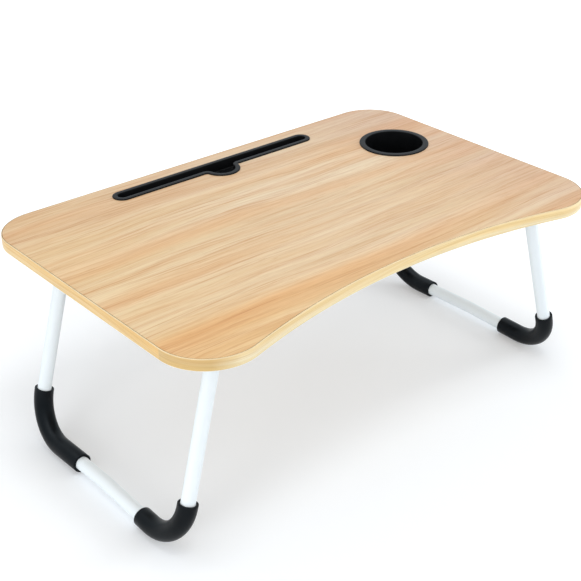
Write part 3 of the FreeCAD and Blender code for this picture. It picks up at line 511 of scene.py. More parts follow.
class Bench:
    """One mesh piece being modelled, in edit mode while its shaping methods run."""

    def __init__(self, name: str, made: bpy.types.Object | None = None) -> None:
        """Start an empty piece, or take one that an operator has just added.

        Args:
            name: the piece's name.
            made: the object to go on with.
        """
        if made is None:
            made = bpy.data.objects.new(name, bpy.data.meshes.new(name))
            bpy.context.scene.collection.objects.link(made)
        made.name = name
        made.data.name = name
        self.obj = made
        self.focus()

    def focus(self) -> None:
        """Go to object mode, select this piece alone and make it active."""
        self.leave()
        for other in bpy.context.selected_objects:
            other.select_set(False)
        self.obj.select_set(True)
        bpy.context.view_layer.objects.active = self.obj

    def edit(self) -> bmesh.types.BMesh:
        """Enter edit mode.

        Returns:
            The mesh being edited.
        """
        if bpy.context.mode != "EDIT_MESH":
            bpy.ops.object.mode_set(mode="EDIT")
        shape = bmesh.from_edit_mesh(self.obj.data)
        for table in (shape.verts, shape.edges, shape.faces):
            table.ensure_lookup_table()
        return shape

    def leave(self) -> None:
        """Go back to object mode."""
        if bpy.context.mode != "OBJECT":
            bpy.ops.object.mode_set(mode="OBJECT")

    def pick_all(self) -> None:
        """Select the whole mesh."""
        self.edit()
        bpy.ops.mesh.select_all(action="SELECT")

    def pick(self, kind: str, test: Callable[[object], bool]) -> None:
        """Select what a test picks, and nothing else.

        Args:
            kind: VERT or EDGE.
            test: takes one element and tells whether it is wanted.
        """
        self.edit()
        bpy.ops.mesh.select_mode(type=kind)
        bpy.ops.mesh.select_all(action="DESELECT")
        shape = self.edit()
        for item in {"VERT": shape.verts, "EDGE": shape.edges}[kind]:
            if test(item):
                item.select_set(True)
        shape.select_flush_mode()
        bmesh.update_edit_mesh(self.obj.data)

    def point(self, place: Vector) -> int:
        """Put down a lone vertex and select it alone.

        Args:
            place: its place.

        Returns:
            Its number.
        """
        self.pick("VERT", lambda vert: False)
        shape = self.edit()
        shape.verts.new(place).select_set(True)
        shape.verts.index_update()
        bmesh.update_edit_mesh(self.obj.data)
        return len(shape.verts) - 1

    def push(self, move: Vector) -> None:
        """Extrude what is selected along a vector."""
        bpy.ops.mesh.extrude_region_move(TRANSFORM_OT_translate={"value": tuple(move)})

    def turn(self, centre: Vector, angle: float, steps: int) -> None:
        """Spin what is selected round an upright axis, anticlockwise for a positive angle in radians."""
        bpy.ops.mesh.spin(steps=steps, angle=-angle, center=tuple(centre), axis=tuple(Z_AXIS))

    def bridge(self, first: range, second: range) -> None:
        """Join two closed loops of vertices with a ring of quads.

        The bridge operator can turn one of two level loops that lie this close, so the vertices
        are paired by their order here.

        Args:
            first: the numbers of one loop's vertices.
            second: those of the other.
        """
        shape = self.edit()
        for low, high in zip(range(-1, len(first) - 1), range(len(first))):
            corners = (first[low], first[high], second[high], second[low])
            shape.faces.new([shape.verts[number] for number in corners])
        bmesh.update_edit_mesh(self.obj.data)

    def fill(self, *loops: range) -> None:
        """Fill the flat area between closed loops of vertices.

        Args:
            loops: the numbers of each loop's vertices.
        """
        self.pick("EDGE", lambda edge: any(all(v.index in loop for v in edge.verts) for loop in loops))
        if len(loops) == 1:
            bpy.ops.mesh.edge_face_add()
        else:
            bpy.ops.mesh.fill()

    def lathe(self, section: Sequence[EdgePoint], steps: int) -> None:
        """Turn a section about the Z axis into a closed solid.

        Args:
            section: its points, of which the first and the last lie on the axis.
            steps: how many faces go round.
        """
        self.point(section[0].place)
        for before, after in zip(section, section[1:]):
            self.push(after.place - before.place)
        for corner in section:
            if corner.radius:
                self.pick("VERT", lambda vert: (vert.co - corner.place).length < SAME_PLACE)
                bpy.ops.mesh.bevel(affect="VERTICES", offset=corner.radius, segments=ROUND_STEPS)
        self.pick("VERT", lambda vert: True)
        self.turn(Vector(), math.tau, steps)
        self.face_outwards(merge=0.5 * SAME_PLACE)

    def face_outwards(self, merge: float = 0.0) -> None:
        """Point all faces outwards.

        Args:
            merge: the distance under which doubles are merged first, or zero.
        """
        self.pick_all()
        if merge:
            bpy.ops.mesh.remove_doubles(threshold=merge)
        bpy.ops.mesh.normals_make_consistent(inside=False)
        self.leave()

    def modify(self, kind: str, **settings: object) -> None:
        """Add a modifier and apply it.

        Args:
            kind: the modifier's type name.
            settings: its properties.
        """
        self.focus()
        modifier = self.obj.modifiers.new(kind.lower(), kind)
        for key, setting in settings.items():
            setattr(modifier, key, setting)
        bpy.ops.object.modifier_apply(modifier=modifier.name)

    def settle(self, place: Matrix | None = None) -> None:
        """Keep the piece's place in its mesh.

        Args:
            place: where to move it first.
        """
        self.focus()
        if place is not None:
            self.obj.matrix_world = place
        bpy.ops.object.transform_apply(location=True, rotation=True, scale=True)

    def finish(self, body: str, finish: Finish, nodes: Iterable[str]) -> None:
        """Shade, dress and hang the finished piece.

        Args:
            body: the frame's body that it rides on.
            finish: its finish, unless its faces have their own.
            nodes: the frame's nodes that it stands for.
        """
        self.focus()
        bpy.ops.object.shade_smooth_by_angle(angle=math.radians(SMOOTH_ANGLE))
        if not self.obj.data.materials:
            self.obj.data.materials.append(finish.material())
        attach(self.obj, body)
        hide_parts(*nodes)
        LOG.info("%s: %d faces, on %s", self.obj.name, len(self.obj.data.polygons), body)


class Pen:
    """Draws a closed flat outline as straight runs and arcs, one vertex after another."""

    def __init__(self, bench: Bench, start: Vector) -> None:
        """Put the pen down.

        Args:
            bench: the piece to draw in.
            start: the first point, whose Z is the outline's height.
        """
        self.bench = bench
        self.first = bench.point(start)
        self.tip = start.copy()

    def line(self, x: float, y: float) -> None:
        """Draw a straight run.

        Args:
            x: where it ends.
            y: where it ends.
        """
        goal = Vector((x, y, self.tip.z))
        self.bench.push(goal - self.tip)
        self.tip = goal

    def arc(self, x: float, y: float, angle: float, steps: int) -> None:
        """Draw an arc.

        Args:
            x: its centre.
            y: its centre.
            angle: its angle in radians, positive for anticlockwise.
            steps: how many straight bits it has.
        """
        centre = Vector((x, y, self.tip.z))
        self.bench.turn(centre, angle, steps)
        self.tip = centre + Matrix.Rotation(angle, 3, "Z") @ (self.tip - centre)

    def close(self) -> range:
        """Join the last vertex to the first.

        Returns:
            The numbers of the outline's vertices.
        """
        last = len(self.bench.edit().verts) - 1
        self.bench.pick("VERT", lambda vert: vert.index in (self.first, last))
        bpy.ops.mesh.edge_face_add()
        return range(self.first, last + 1)


def rounded(corner: EdgePoint, start: float, radius: float, steps: int = 4) -> list[EdgePoint]:
    """Give the points of a quarter round at a section's corner.

    Args:
        corner: the centre of the round.
        start: the angle at which it starts, in degrees.
        radius: its radius, negative for a round that runs the other way.
        steps: how many straight bits it has.

    Returns:
        The points from its start to its end.
    """
    turn = math.copysign(90.0 / steps, radius)
    angles = [math.radians(start + turn * step) for step in range(steps + 1)]
    return [EdgePoint(corner.out + abs(radius) * math.cos(a), corner.height + abs(radius) * math.sin(a))
            for a in angles]


def refined_copy(name: str, node: str, body: str, finish: Finish) -> None:
    """Copy a frame node, merge its triangles into flat faces and dress it.

    Args:
        name: the new piece's name.
        node: the frame's node.
        body: the body it rides on.
        finish: its finish.
    """
    made = frame["nodes"][node].copy()
    made.data = made.data.copy()
    for key in list(made.keys()):
        del made[key]
    made.parent = None
    made.hide_render = False
    made.hide_viewport = False
    made.data.materials.clear()
    bpy.context.scene.collection.objects.link(made)
    bench = Bench(name, made)
    bench.pick_all()
    bpy.ops.mesh.remove_doubles(threshold=MERGE_REACH)
    bpy.ops.mesh.dissolve_limited(angle_limit=math.radians(FLAT_ANGLE))
    bench.finish(body, finish, [node])


# The table top


@dataclass(frozen=True)
class TopOutline:
    """The outline of the top: rounded corners and a hollowed front, a little inside the box."""

    half_length: float
    half_depth: float
    back_corner: float = 54 * MM
    front_corner: float = 58 * MM
    belly: float = 35 * MM
    corner_steps: int = 28
    belly_steps: int = 64

    @property
    def seam(self) -> int:
        """Give the number of the point where the strip's ends meet: where the front left corner starts."""
        return 2 * self.corner_steps + 2

    def draw(self, bench: Bench, inset: float, height: float) -> range:
        """Draw the outline moved inwards by an inset.

        Args:
            bench: the piece to draw in.
            inset: how far inside the true edge it runs.
            height: its Z.

        Returns:
            The numbers of its vertices, from the right side anticlockwise.
        """
        quarter = math.pi / 2
        back_x = self.half_length - self.back_corner
        back_y = self.half_depth - self.back_corner
        front_x = self.half_length - self.front_corner
        front_y = self.front_corner - self.half_depth
        reach = (front_x ** 2 + self.belly ** 2) / (2 * self.belly)
        belly_y = self.belly - self.half_depth - (reach - self.front_corner)
        lean = math.asin(front_x / reach)
        pen = Pen(bench, Vector((self.half_length - inset, back_y, height)))
        pen.arc(back_x, back_y, quarter, self.corner_steps)
        pen.line(-back_x, self.half_depth - inset)
        pen.arc(-back_x, back_y, quarter, self.corner_steps)
        pen.line(inset - self.half_length, front_y)
        pen.arc(-front_x, front_y, quarter + lean, self.corner_steps)
        pen.arc(0, belly_y, -2 * lean, self.belly_steps)
        pen.arc(front_x, front_y, quarter + lean, self.corner_steps)
        return pen.close()


@dataclass(frozen=True)
class SlotOutline:
    """The outline of the tablet slot, with a finger notch blended into its front edge."""

    middle_y: float
    half_straight: float
    bore_half: float
    notch: float = 17 * MM
    notch_forward: float = 11 * MM
    blend: float = 9 * MM
    end_steps: int = 24
    notch_steps: int = 32
    blend_steps: int = 8

    def draw(self, bench: Bench, grow: float, height: float) -> range:
        """Draw the outline moved outwards from the bore.

        Args:
            bench: the piece to draw in.
            grow: how far outside the bore it runs.
            height: its Z.

        Returns:
            The numbers of its vertices.
        """
        half = self.bore_half + grow
        notch_y = self.middle_y - self.notch_forward
        blend_y = self.middle_y - self.bore_half - self.blend
        blend_x = math.sqrt((self.notch + self.blend) ** 2 - (blend_y - notch_y) ** 2)
        dip = math.atan2(blend_y - notch_y, blend_x)
        ease = math.pi / 2 + dip
        pen = Pen(bench, Vector((self.half_straight, self.middle_y - half, height)))
        pen.arc(self.half_straight, self.middle_y, math.pi, self.end_steps)
        pen.line(-self.half_straight, self.middle_y + half)
        pen.arc(-self.half_straight, self.middle_y, math.pi, self.end_steps)
        pen.line(-blend_x, self.middle_y - half)
        pen.arc(-blend_x, blend_y, -ease, self.blend_steps)
        pen.arc(0, notch_y, math.pi + 2 * dip, self.notch_steps)
        pen.arc(blend_x, blend_y, -ease, self.blend_steps)
        return pen.close()


@dataclass
class TableTop:
    """The laminated board: decor above, backing below, and a strip glued round its edge."""

    strip_thickness: float = 1.4 * MM
    strip_round: float = 0.8 * MM
    rim_share: float = 1.2
    joint_depth: float = 0.25 * MM
    slot_length: float = 300 * MM
    slot_width: float = 25 * MM
    slot_from_back: float = 33.5 * MM
    slot_flange: float = 6 * MM
    slot_margin: float = 1.9 * MM
    cup_hole: float = 39.5 * MM
    cup_steps: int = 72

    def __post_init__(self) -> None:
        """Read the top's place from the frame."""
        self.low, self.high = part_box("edge_band")
        self.joints = (self.low.z + self.joint_depth, self.high.z - self.joint_depth)
        self.outline = TopOutline(self.high.x, self.high.y)
        self.slot = SlotOutline(self.high.y - self.slot_from_back, (self.slot_length - self.slot_width) / 2,
                                self.slot_width / 2 - self.slot_flange)

    def build(self) -> None:
        """Build and dress every piece of the board."""
        self.build_sheet("decor_sheet", "top_laminate", DECOR)
        self.build_sheet("backing_sheet", "underside_laminate", BACKING)
        self.build_strip()
        core = frame["nodes"]["board_core"]
        core.data.materials.clear()
        core.data.materials.append(FIBRE.material())

    def build_sheet(self, name: str, node: str, finish: Finish) -> None:
        """Build one laminate sheet with its slot and cup hole.

        Args:
            name: the piece's name.
            node: the frame's node that it stands for.
            finish: its finish.
        """
        low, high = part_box(node)
        cup_low, cup_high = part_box("cup_holder_insert")
        cup = (cup_low + cup_high) / 2
        bench = Bench(name)
        layers = []
        for height in (low.z, high.z):
            edge = self.outline.draw(bench, self.strip_thickness, height)
            slot = self.slot.draw(bench, self.slot_margin, height)
            pen = Pen(bench, Vector((cup.x + self.cup_hole, cup.y, height)))
            pen.arc(cup.x, cup.y, math.tau * (1 - 1 / self.cup_steps), self.cup_steps - 1)
            layers.append((edge, slot, pen.close()))
            bench.fill(*layers[-1])
        for below, above in zip(*layers):
            bench.bridge(below, above)
        bench.face_outwards()
        bench.finish(TOP, finish, [node])

    def build_strip(self) -> None:
        """Build the edge strip, rounded outside, with a fine dark joint along the laminates."""
        edge = self.strip_round
        low_joint, high_joint = self.joints
        section = [EdgePoint(self.strip_thickness, low_joint), EdgePoint(edge, low_joint)]
        section += rounded(EdgePoint(edge, self.low.z + edge), -90, -edge)
        section += rounded(EdgePoint(edge, self.high.z - edge), 180, -edge)
        section += [EdgePoint(edge, high_joint), EdgePoint(self.strip_thickness, high_joint)]
        bench = Bench("edge_strip")
        loops = [self.outline.draw(bench, point.out, point.height) for point in section]
        for first, second in zip(loops, loops[1:] + loops[:1]):
            bench.bridge(first, second)
        bench.face_outwards()
        map_strip(bench.obj, len(loops[0]), self.outline.seam)
        for finish in (STRIP, GLUE, STRIP_RIM_LIGHT_AND_SHADE, STRIP_BODY):
            bench.obj.data.materials.append(finish.material())
        for face in bench.obj.data.polygons:
            heights = [bench.obj.data.vertices[v].co.z for v in face.vertices]
            face.material_index = self.strip_part(min(heights), max(heights))
        bench.finish(TOP, STRIP, ["edge_band"])

    def strip_part(self, low: float, high: float) -> StripPart:
        """Tell which part of the strip a face belongs to.

        Args:
            low: the lowest Z of the face.
            high: its highest Z.

        Returns:
            The part.
        """
        if high - low < SAME_PLACE and any(abs(low - joint) < SAME_PLACE for joint in self.joints):
            return StripPart.GLUE
        if low > self.high.z - self.rim_share * self.strip_round:
            return StripPart.RIM
        if high < self.low.z + self.rim_share * self.strip_round:
            return StripPart.UNDER
        return StripPart.PRINT


def map_strip(piece: bpy.types.Object, count: int, seam: int) -> None:
    """Lay a UV map along a strip: U is metres along its first loop from the seam, V its height.

    Args:
        piece: the strip, whose vertices come loop by loop.
        count: how many vertices each loop has.
        seam: the vertex of each loop where the strip's two ends meet.
    """
    mesh = piece.data
    first = [mesh.vertices[k].co for k in range(count)]
    runs = [0.0]
    for before, after in zip(first, first[1:]):
        runs.append(runs[-1] + (after - before).length)
    total = runs[-1] + (first[0] - first[-1]).length
    runs = [(run - runs[seam]) % total for run in runs]
    layer = mesh.uv_layers.new(name="strip")
    for face in mesh.polygons:
        spots = [runs[v % count] for v in face.vertices]
        wraps = max(spots) - min(spots) > total / 2
        for loop, vertex, spot in zip(face.loop_indices, face.vertices, spots):
            along = spot + total if wraps and spot < total / 2 else spot
            layer.data[loop].uv = (along, mesh.vertices[vertex].co.z)


# The two inserts


@dataclass
class TabletSlot:
    """The black moulding that holds a tablet upright: a flange round a shallow trough."""

    top: TableTop
    flange_thickness: float = 1.6 * MM
    lip_round: float = 0.7 * MM
    wall: float = 1.5 * MM
    floor: float = 1.5 * MM
    floor_round: float = 1.0 * MM

    def build(self) -> None:
        """Build and dress the insert."""
        low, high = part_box("tablet_slot_insert")
        board = high.z - self.flange_thickness
        flange = self.top.slot_flange
        lip, edge = self.lip_round, self.floor_round
        section = rounded(EdgePoint(-edge, low.z + self.floor + edge), -90, edge)
        section += rounded(EdgePoint(lip, high.z - lip), 180, -lip)
        section += rounded(EdgePoint(flange - lip, high.z - lip), 90, -lip)
        section += [EdgePoint(flange, board), EdgePoint(self.wall, board), EdgePoint(self.wall, low.z)]
        bench = Bench("slot_moulding")
        loops = [self.top.slot.draw(bench, point.out, point.height) for point in section]
        for first, second in zip(loops, loops[1:]):
            bench.bridge(first, second)
        bench.fill(loops[0])
        bench.fill(loops[-1])
        bench.face_outwards()
        bench.finish(TOP, MOULDED, ["tablet_slot_insert"])


@dataclass
class CupHolder:
    """The black cup with its round flange, turned about an upright axis."""

    flange_radius: float = 45 * MM
    flange_thickness: float = 1.6 * MM
    bore_radius: float = 37.5 * MM
    foot_radius: float = 35.5 * MM
    neck: float = 20 * MM
    depth: float = 42 * MM
    wall: float = 1.6 * MM
    floor: float = 2 * MM
    floor_round: float = 4 * MM
    lip_round: float = 0.7 * MM
    steps: int = 128

    def build(self) -> None:
        """Build and dress the cup."""
        low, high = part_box("cup_holder_insert")
        board = high.z - self.flange_thickness
        floor = board - self.depth
        outside = self.bore_radius + self.wall
        section = [
            EdgePoint(0, floor),
            EdgePoint(self.foot_radius, floor, self.floor_round),
            EdgePoint(self.bore_radius, board - self.neck),
            EdgePoint(self.bore_radius, high.z, self.lip_round),
            EdgePoint(self.flange_radius, high.z, self.lip_round),
            EdgePoint(self.flange_radius, board),
            EdgePoint(outside, board),
            EdgePoint(outside, board - self.neck),
            EdgePoint(self.foot_radius + self.wall, low.z, self.floor_round + self.floor),
            EdgePoint(0, low.z),
        ]
        centre = (low + high) / 2
        bench = Bench("cup_moulding")
        bench.lathe(section, self.steps)
        bench.settle(Matrix.Translation((centre.x, centre.y, 0)))
        bench.finish(TOP, MOULDED, ["cup_holder_insert"])


# The legs


def fold_joint(side: Side) -> dict:
    """Give the frame's record of a leg's fold joint."""
    return next(joint for joint in frame["joints"] if joint["name"] == f"{side.word}_leg_fold")


@dataclass(frozen=True)
class Bend:
    """One rounded corner of a tube's centreline."""

    start: Vector
    centre: Vector
    angle: float
    end: Vector


def round_corner(before: Vector, corner: Vector, after: Vector, radius: float) -> Bend:
    """Round the corner between two runs of a flat centreline.

    Args:
        before: the point that the first run comes from.
        corner: the unbent corner.
        after: the point that the second run goes to.
        radius: the bend's radius.

    Returns:
        The bend.
    """
    back = (before - corner).normalized()
    ahead = (after - corner).normalized()
    half = back.angle(ahead) / 2
    turn = math.copysign(math.pi - 2 * half, (-back).cross(ahead).z)
    reach = radius / math.tan(half)
    centre = corner + (back + ahead).normalized() * (radius / math.sin(half))
    return Bend(corner + back * reach, centre, turn, corner + ahead * reach)


@dataclass(frozen=True)
class LegLine:
    """The centreline of a leg in its own plane: X down the leg from the pivots, Y along their axis."""

    length: float = 223.5 * MM
    pivot_spread: float = 278.4 * MM
    foot_spread: float = 287.6 * MM
    bend_radius: float = 50 * MM
    crossbar_rise: float = 4.5 * MM
    crossbar_radius: float = 150 * MM
    stub: float = 6 * MM

    @property
    def splay(self) -> float:
        """Give the angle by which each upright leans out in the leg's plane."""
        return math.atan2((self.foot_spread - self.pivot_spread) / 2, self.length)

    @property
    def rise(self) -> float:
        """Give the angle by which each half of the crossbar rises."""
        return math.atan2(self.crossbar_rise, self.foot_spread / 2)

    @property
    def bend_reach(self) -> float:
        """Give the distance from a foot's unbent corner to where its bend starts."""
        return self.bend_radius * math.tan((math.pi / 2 + self.splay + self.rise) / 2)

    def foot(self, way: int) -> Vector:
        """Give a foot's unbent corner."""
        return Vector((self.length, way * self.foot_spread / 2, 0))

    def up(self, way: int, run: float) -> Vector:
        """Give the point a run up the leg from a foot's unbent corner."""
        return self.foot(way) + Vector((-math.cos(self.splay), -way * math.sin(self.splay), 0)) * run

    def along(self, way: int, run: float) -> Vector:
        """Give the point a run along the crossbar from a foot's unbent corner."""
        return self.foot(way) + Vector((-math.sin(self.rise), -way * math.cos(self.rise), 0)) * run

    def tip(self, way: int) -> Vector:
        """Give the tube's tip above a pivot."""
        return self.up(way, self.length / math.cos(self.splay) + self.stub)

    def middle(self) -> Vector:
        """Give the unbent corner at the middle of the crossbar."""
        return Vector((self.length - self.crossbar_rise, 0, 0))


def sweep_wall(name: str, radius: float, corners: Sequence[Vector], radii: Sequence[float],
               wall: float) -> Bench:
    """Sweep a round pipe along a flat centreline by extruding its runs and spinning its bends.

    Args:
        name: the piece's name.
        radius: the pipe's outer radius.
        corners: the centreline's ends and unbent corners.
        radii: the radius of each bend.
        wall: the pipe's wall, which grows inwards.

    Returns:
        The piece.
    """
    heading = (corners[1] - corners[0]).normalized()
    bpy.ops.mesh.primitive_circle_add(vertices=RING_SIDES, radius=radius, location=corners[0],
                                      rotation=heading.to_track_quat("Z", "Y").to_euler())
    bench = Bench(name, bpy.context.object)
    bench.settle()
    bench.pick_all()
    here = corners[0]
    for before, corner, after, bend_radius in zip(corners, corners[1:], corners[2:], radii):
        bend = round_corner(before, corner, after, bend_radius)
        bench.push(bend.start - here)
        steps = max(FEWEST_BEND_STEPS, round(abs(math.degrees(bend.angle)) / BEND_ANGLE))
        bench.turn(bend.centre, bend.angle, steps)
        here = bend.end
    bench.push(corners[-1] - here)
    bench.face_outwards()
    bench.modify("SOLIDIFY", thickness=wall, offset=-1)
    return bench


@dataclass
class Leg:
    """One U leg: a coated tube, two plugs, two pairs of saddle washers and two rubber sleeves."""

    side: Side
    line: LegLine
    sleeve_runs: dict[End, tuple[float, float]]
    tube_radius: float = 8 * MM
    tube_wall: float = 1.2 * MM
    sleeve_wall: float = 3 * MM
    sleeve_fit: float = 0.2 * MM
    sleeve_round: float = 0.7 * MM
    sleeve_round_steps: int = 3

    def __post_init__(self) -> None:
        """Read the leg's pivot and tilt from the frame."""
        joint = fold_joint(self.side)
        tilt = max(joint["range_deg"]) - 90
        turn = Matrix.Rotation(math.radians(90 - self.side.value * tilt), 4, "Y")
        self.place = Matrix.Translation(joint["pos_m"]) @ turn
        self.body = f"{self.side.word}_leg"

    def build(self) -> None:
        """Build and dress the leg's pieces."""
        self.build_tube()
        for end in End:
            self.build_sleeve(end)
            tag = f"{self.side.word}_{end.word}"
            refined_copy(f"plug_{tag}", f"tube_plug_{tag}", self.body, MOULDED)
            refined_copy(f"saddles_{tag}", f"saddle_washers_{tag}", self.body, NYLON)

    def build_tube(self) -> None:
        """Build the bent tube."""
        line = self.line
        corners = [line.tip(-1), line.foot(-1), line.middle(), line.foot(1), line.tip(1)]
        radii = [line.bend_radius, line.crossbar_radius, line.bend_radius]
        bench = sweep_wall(f"tube_{self.side.word}", self.tube_radius, corners, radii, self.tube_wall)
        bench.settle(self.place)
        bench.finish(self.body, COATED, [f"leg_tube_{self.side.word}"])

    def build_sleeve(self, end: End) -> None:
        """Build the rubber sleeve on one bend.

        Args:
            end: the leg's front or back bend.
        """
        line = self.line
        up, along = self.sleeve_runs[end]
        corners = [line.up(end.value, line.bend_reach + up), line.foot(end.value),
                   line.along(end.value, line.bend_reach + along)]
        radius = self.tube_radius + self.sleeve_fit + self.sleeve_wall
        tag = f"{self.side.word}_{end.word}"
        bench = sweep_wall(f"sleeve_{tag}", radius, corners, [line.bend_radius], self.sleeve_wall)
        bench.modify("BEVEL", width=self.sleeve_round, segments=self.sleeve_round_steps,
                     limit_method="ANGLE", angle_limit=math.radians(CREASE_ANGLE))
        bench.settle(self.place)
        bench.finish(self.body, RUBBER, [f"foot_sleeve_{tag}"])


# The hinges


@dataclass
class Hinge:
    """One hinge: its bracket, rivet, washer and screws, all on the top."""

    side: Side
    end: End
    line: LegLine
    cheek_face: float = 12.8 * MM
    shank_radius: float = 3 * MM
    head_radius: float = 5.5 * MM
    head_height: float = 2.4 * MM
    head_steps: int = 8
    washer_thickness: float = 1 * MM
    roll_radius: float = 4.8 * MM
    roll_height: float = 1.6 * MM
    steps: int = 48

    def __post_init__(self) -> None:
        """Work out the hinge's place: on the fold axis, with its X towards the table's middle."""
        x, y, z = fold_joint(self.side)["pos_m"]
        turn = 0 if self.side is Side.LEFT else math.pi
        self.tag = f"{self.side.word}_{self.end.word}"
        self.place = (Matrix.Translation((x, y + self.end.value * self.line.pivot_spread / 2, z))
                      @ Matrix.Rotation(turn, 4, "Z"))

    def build(self) -> None:
        """Build and dress the hinge's pieces."""
        refined_copy(f"bracket_{self.tag}", f"hinge_bracket_{self.tag}", TOP, MOULDED)
        refined_copy(f"washer_{self.tag}", f"rivet_washer_{self.tag}", TOP, PLATED)
        self.build_rivet()
        bench = Screw().build(f"screws_{self.tag}")
        bench.settle(self.place)
        bench.finish(TOP, PLATED, [f"bracket_screws_{self.tag}"])

    def build_rivet(self) -> None:
        """Build the rivet: a domed head outside one cheek and a rolled one on the washer."""
        dome = (self.head_radius ** 2 + self.head_height ** 2) / (2 * self.head_height)
        span = math.asin(self.head_radius / dome)
        centre = self.cheek_face + self.head_height - dome
        angles = [span * step / self.head_steps for step in range(self.head_steps + 1)]
        section = [EdgePoint(dome * math.sin(a), centre + dome * math.cos(a)) for a in angles]
        roll, height = self.roll_radius, self.roll_height
        roll_face = -self.cheek_face - self.washer_thickness
        roll_end = roll_face - height
        section += [EdgePoint(self.shank_radius, self.cheek_face), EdgePoint(self.shank_radius, roll_face),
                    EdgePoint(roll, roll_face), EdgePoint(roll, roll_end, height / 2),
                    EdgePoint(roll / 2, roll_end, height / 4), EdgePoint(roll / 3, roll_end + height / 2),
                    EdgePoint(0, roll_end + height / 2)]
        bench = Bench(f"rivet_{self.tag}")
        bench.lathe(section, self.steps)
        bench.settle(self.place @ Matrix.Rotation(math.radians(-90), 4, "X"))
        bench.finish(TOP, PLATED, [f"hinge_rivet_{self.tag}"])


@dataclass
class Screw:
    """A countersunk screw with a cross recess, its head down, set at each of a bracket's four holes."""

    head_face: float = 12.2 * MM
    head_radius: float = 3.3 * MM
    head_height: float = 1.55 * MM
    radius: float = 1.75 * MM
    tip_start: float = 21.5 * MM
    tip_end: float = 24 * MM
    tip_radius: float = 0.4 * MM
    recess_span: float = 3.6 * MM
    recess_width: float = 0.75 * MM
    recess_depth: float = 1.3 * MM
    recess_taper: float = 0.5
    inner_x: float = 31 * MM
    outer_x: float = -27 * MM
    half_y: float = 10 * MM
    turns: tuple[float, ...] = (25, 50, -15)
    steps: int = 32

    def build(self, name: str) -> Bench:
        """Build a bracket's four screws as one piece, each turned to its own angle.

        Args:
            name: the piece's name.

        Returns:
            The piece, in the hinge's own frame.
        """
        section = [EdgePoint(0, self.head_face), EdgePoint(self.head_radius, self.head_face),
                   EdgePoint(self.radius, self.head_face + self.head_height),
                   EdgePoint(self.radius, self.tip_start), EdgePoint(self.tip_radius, self.tip_end),
                   EdgePoint(0, self.tip_end)]
        bench = Bench(name)
        bench.lathe(section, self.steps)
        for angle in (0, math.pi / 2):
            self.cut_slot(bench, angle)
        spots = [Vector((x, y, 0)) for x in (self.outer_x, self.inner_x) for y in (-self.half_y, self.half_y)]
        bench.settle(Matrix.Translation(spots[0]))
        bench.pick("VERT", lambda vert: True)
        for before, spot, angle in zip(spots, spots[1:], self.turns):
            bpy.ops.mesh.duplicate_move(TRANSFORM_OT_translate={"value": tuple(spot - before)})
            bpy.ops.transform.rotate(value=math.radians(angle), orient_axis="Z", center_override=tuple(spot))
        bench.leave()
        return bench

    def cut_slot(self, bench: Bench, angle: float) -> None:
        """Cut one slot of the cross, narrower at its floor, into the head.

        Args:
            bench: the screw.
            angle: the slot's direction, in radians.
        """
        bpy.ops.mesh.primitive_cube_add(size=1, location=(0, 0, self.head_face))
        tool = Bench("slot_tool", bpy.context.object)
        tool.obj.scale = (self.recess_span, self.recess_width, 2 * self.recess_depth)
        tool.obj.rotation_euler = (0, 0, angle)
        tool.settle()
        tool.pick("VERT", lambda vert: vert.co.z > self.head_face)
        bpy.ops.transform.resize(value=(self.recess_taper, self.recess_taper, 1),
                                 center_override=(0, 0, self.head_face))
        tool.leave()
        bench.modify("BOOLEAN", operation="DIFFERENCE", object=tool.obj, solver="EXACT")
        bpy.data.meshes.remove(tool.obj.data)


# The studio


@dataclass(frozen=True)
class Lamp:
    """A square lamp that shines at the middle of the floor."""

    name: str
    place: Vector
    size: float
    power: float

    def hang(self) -> None:
        """Hang the lamp, out of sight of shiny surfaces."""
        bpy.ops.object.light_add(type="AREA", location=self.place)
        made = bpy.context.object
        made.name = self.name
        made.data.size = self.size
        made.data.energy = self.power
        made.visible_glossy = False
        made.rotation_euler = (-self.place).to_track_quat("-Z", "Y").to_euler()


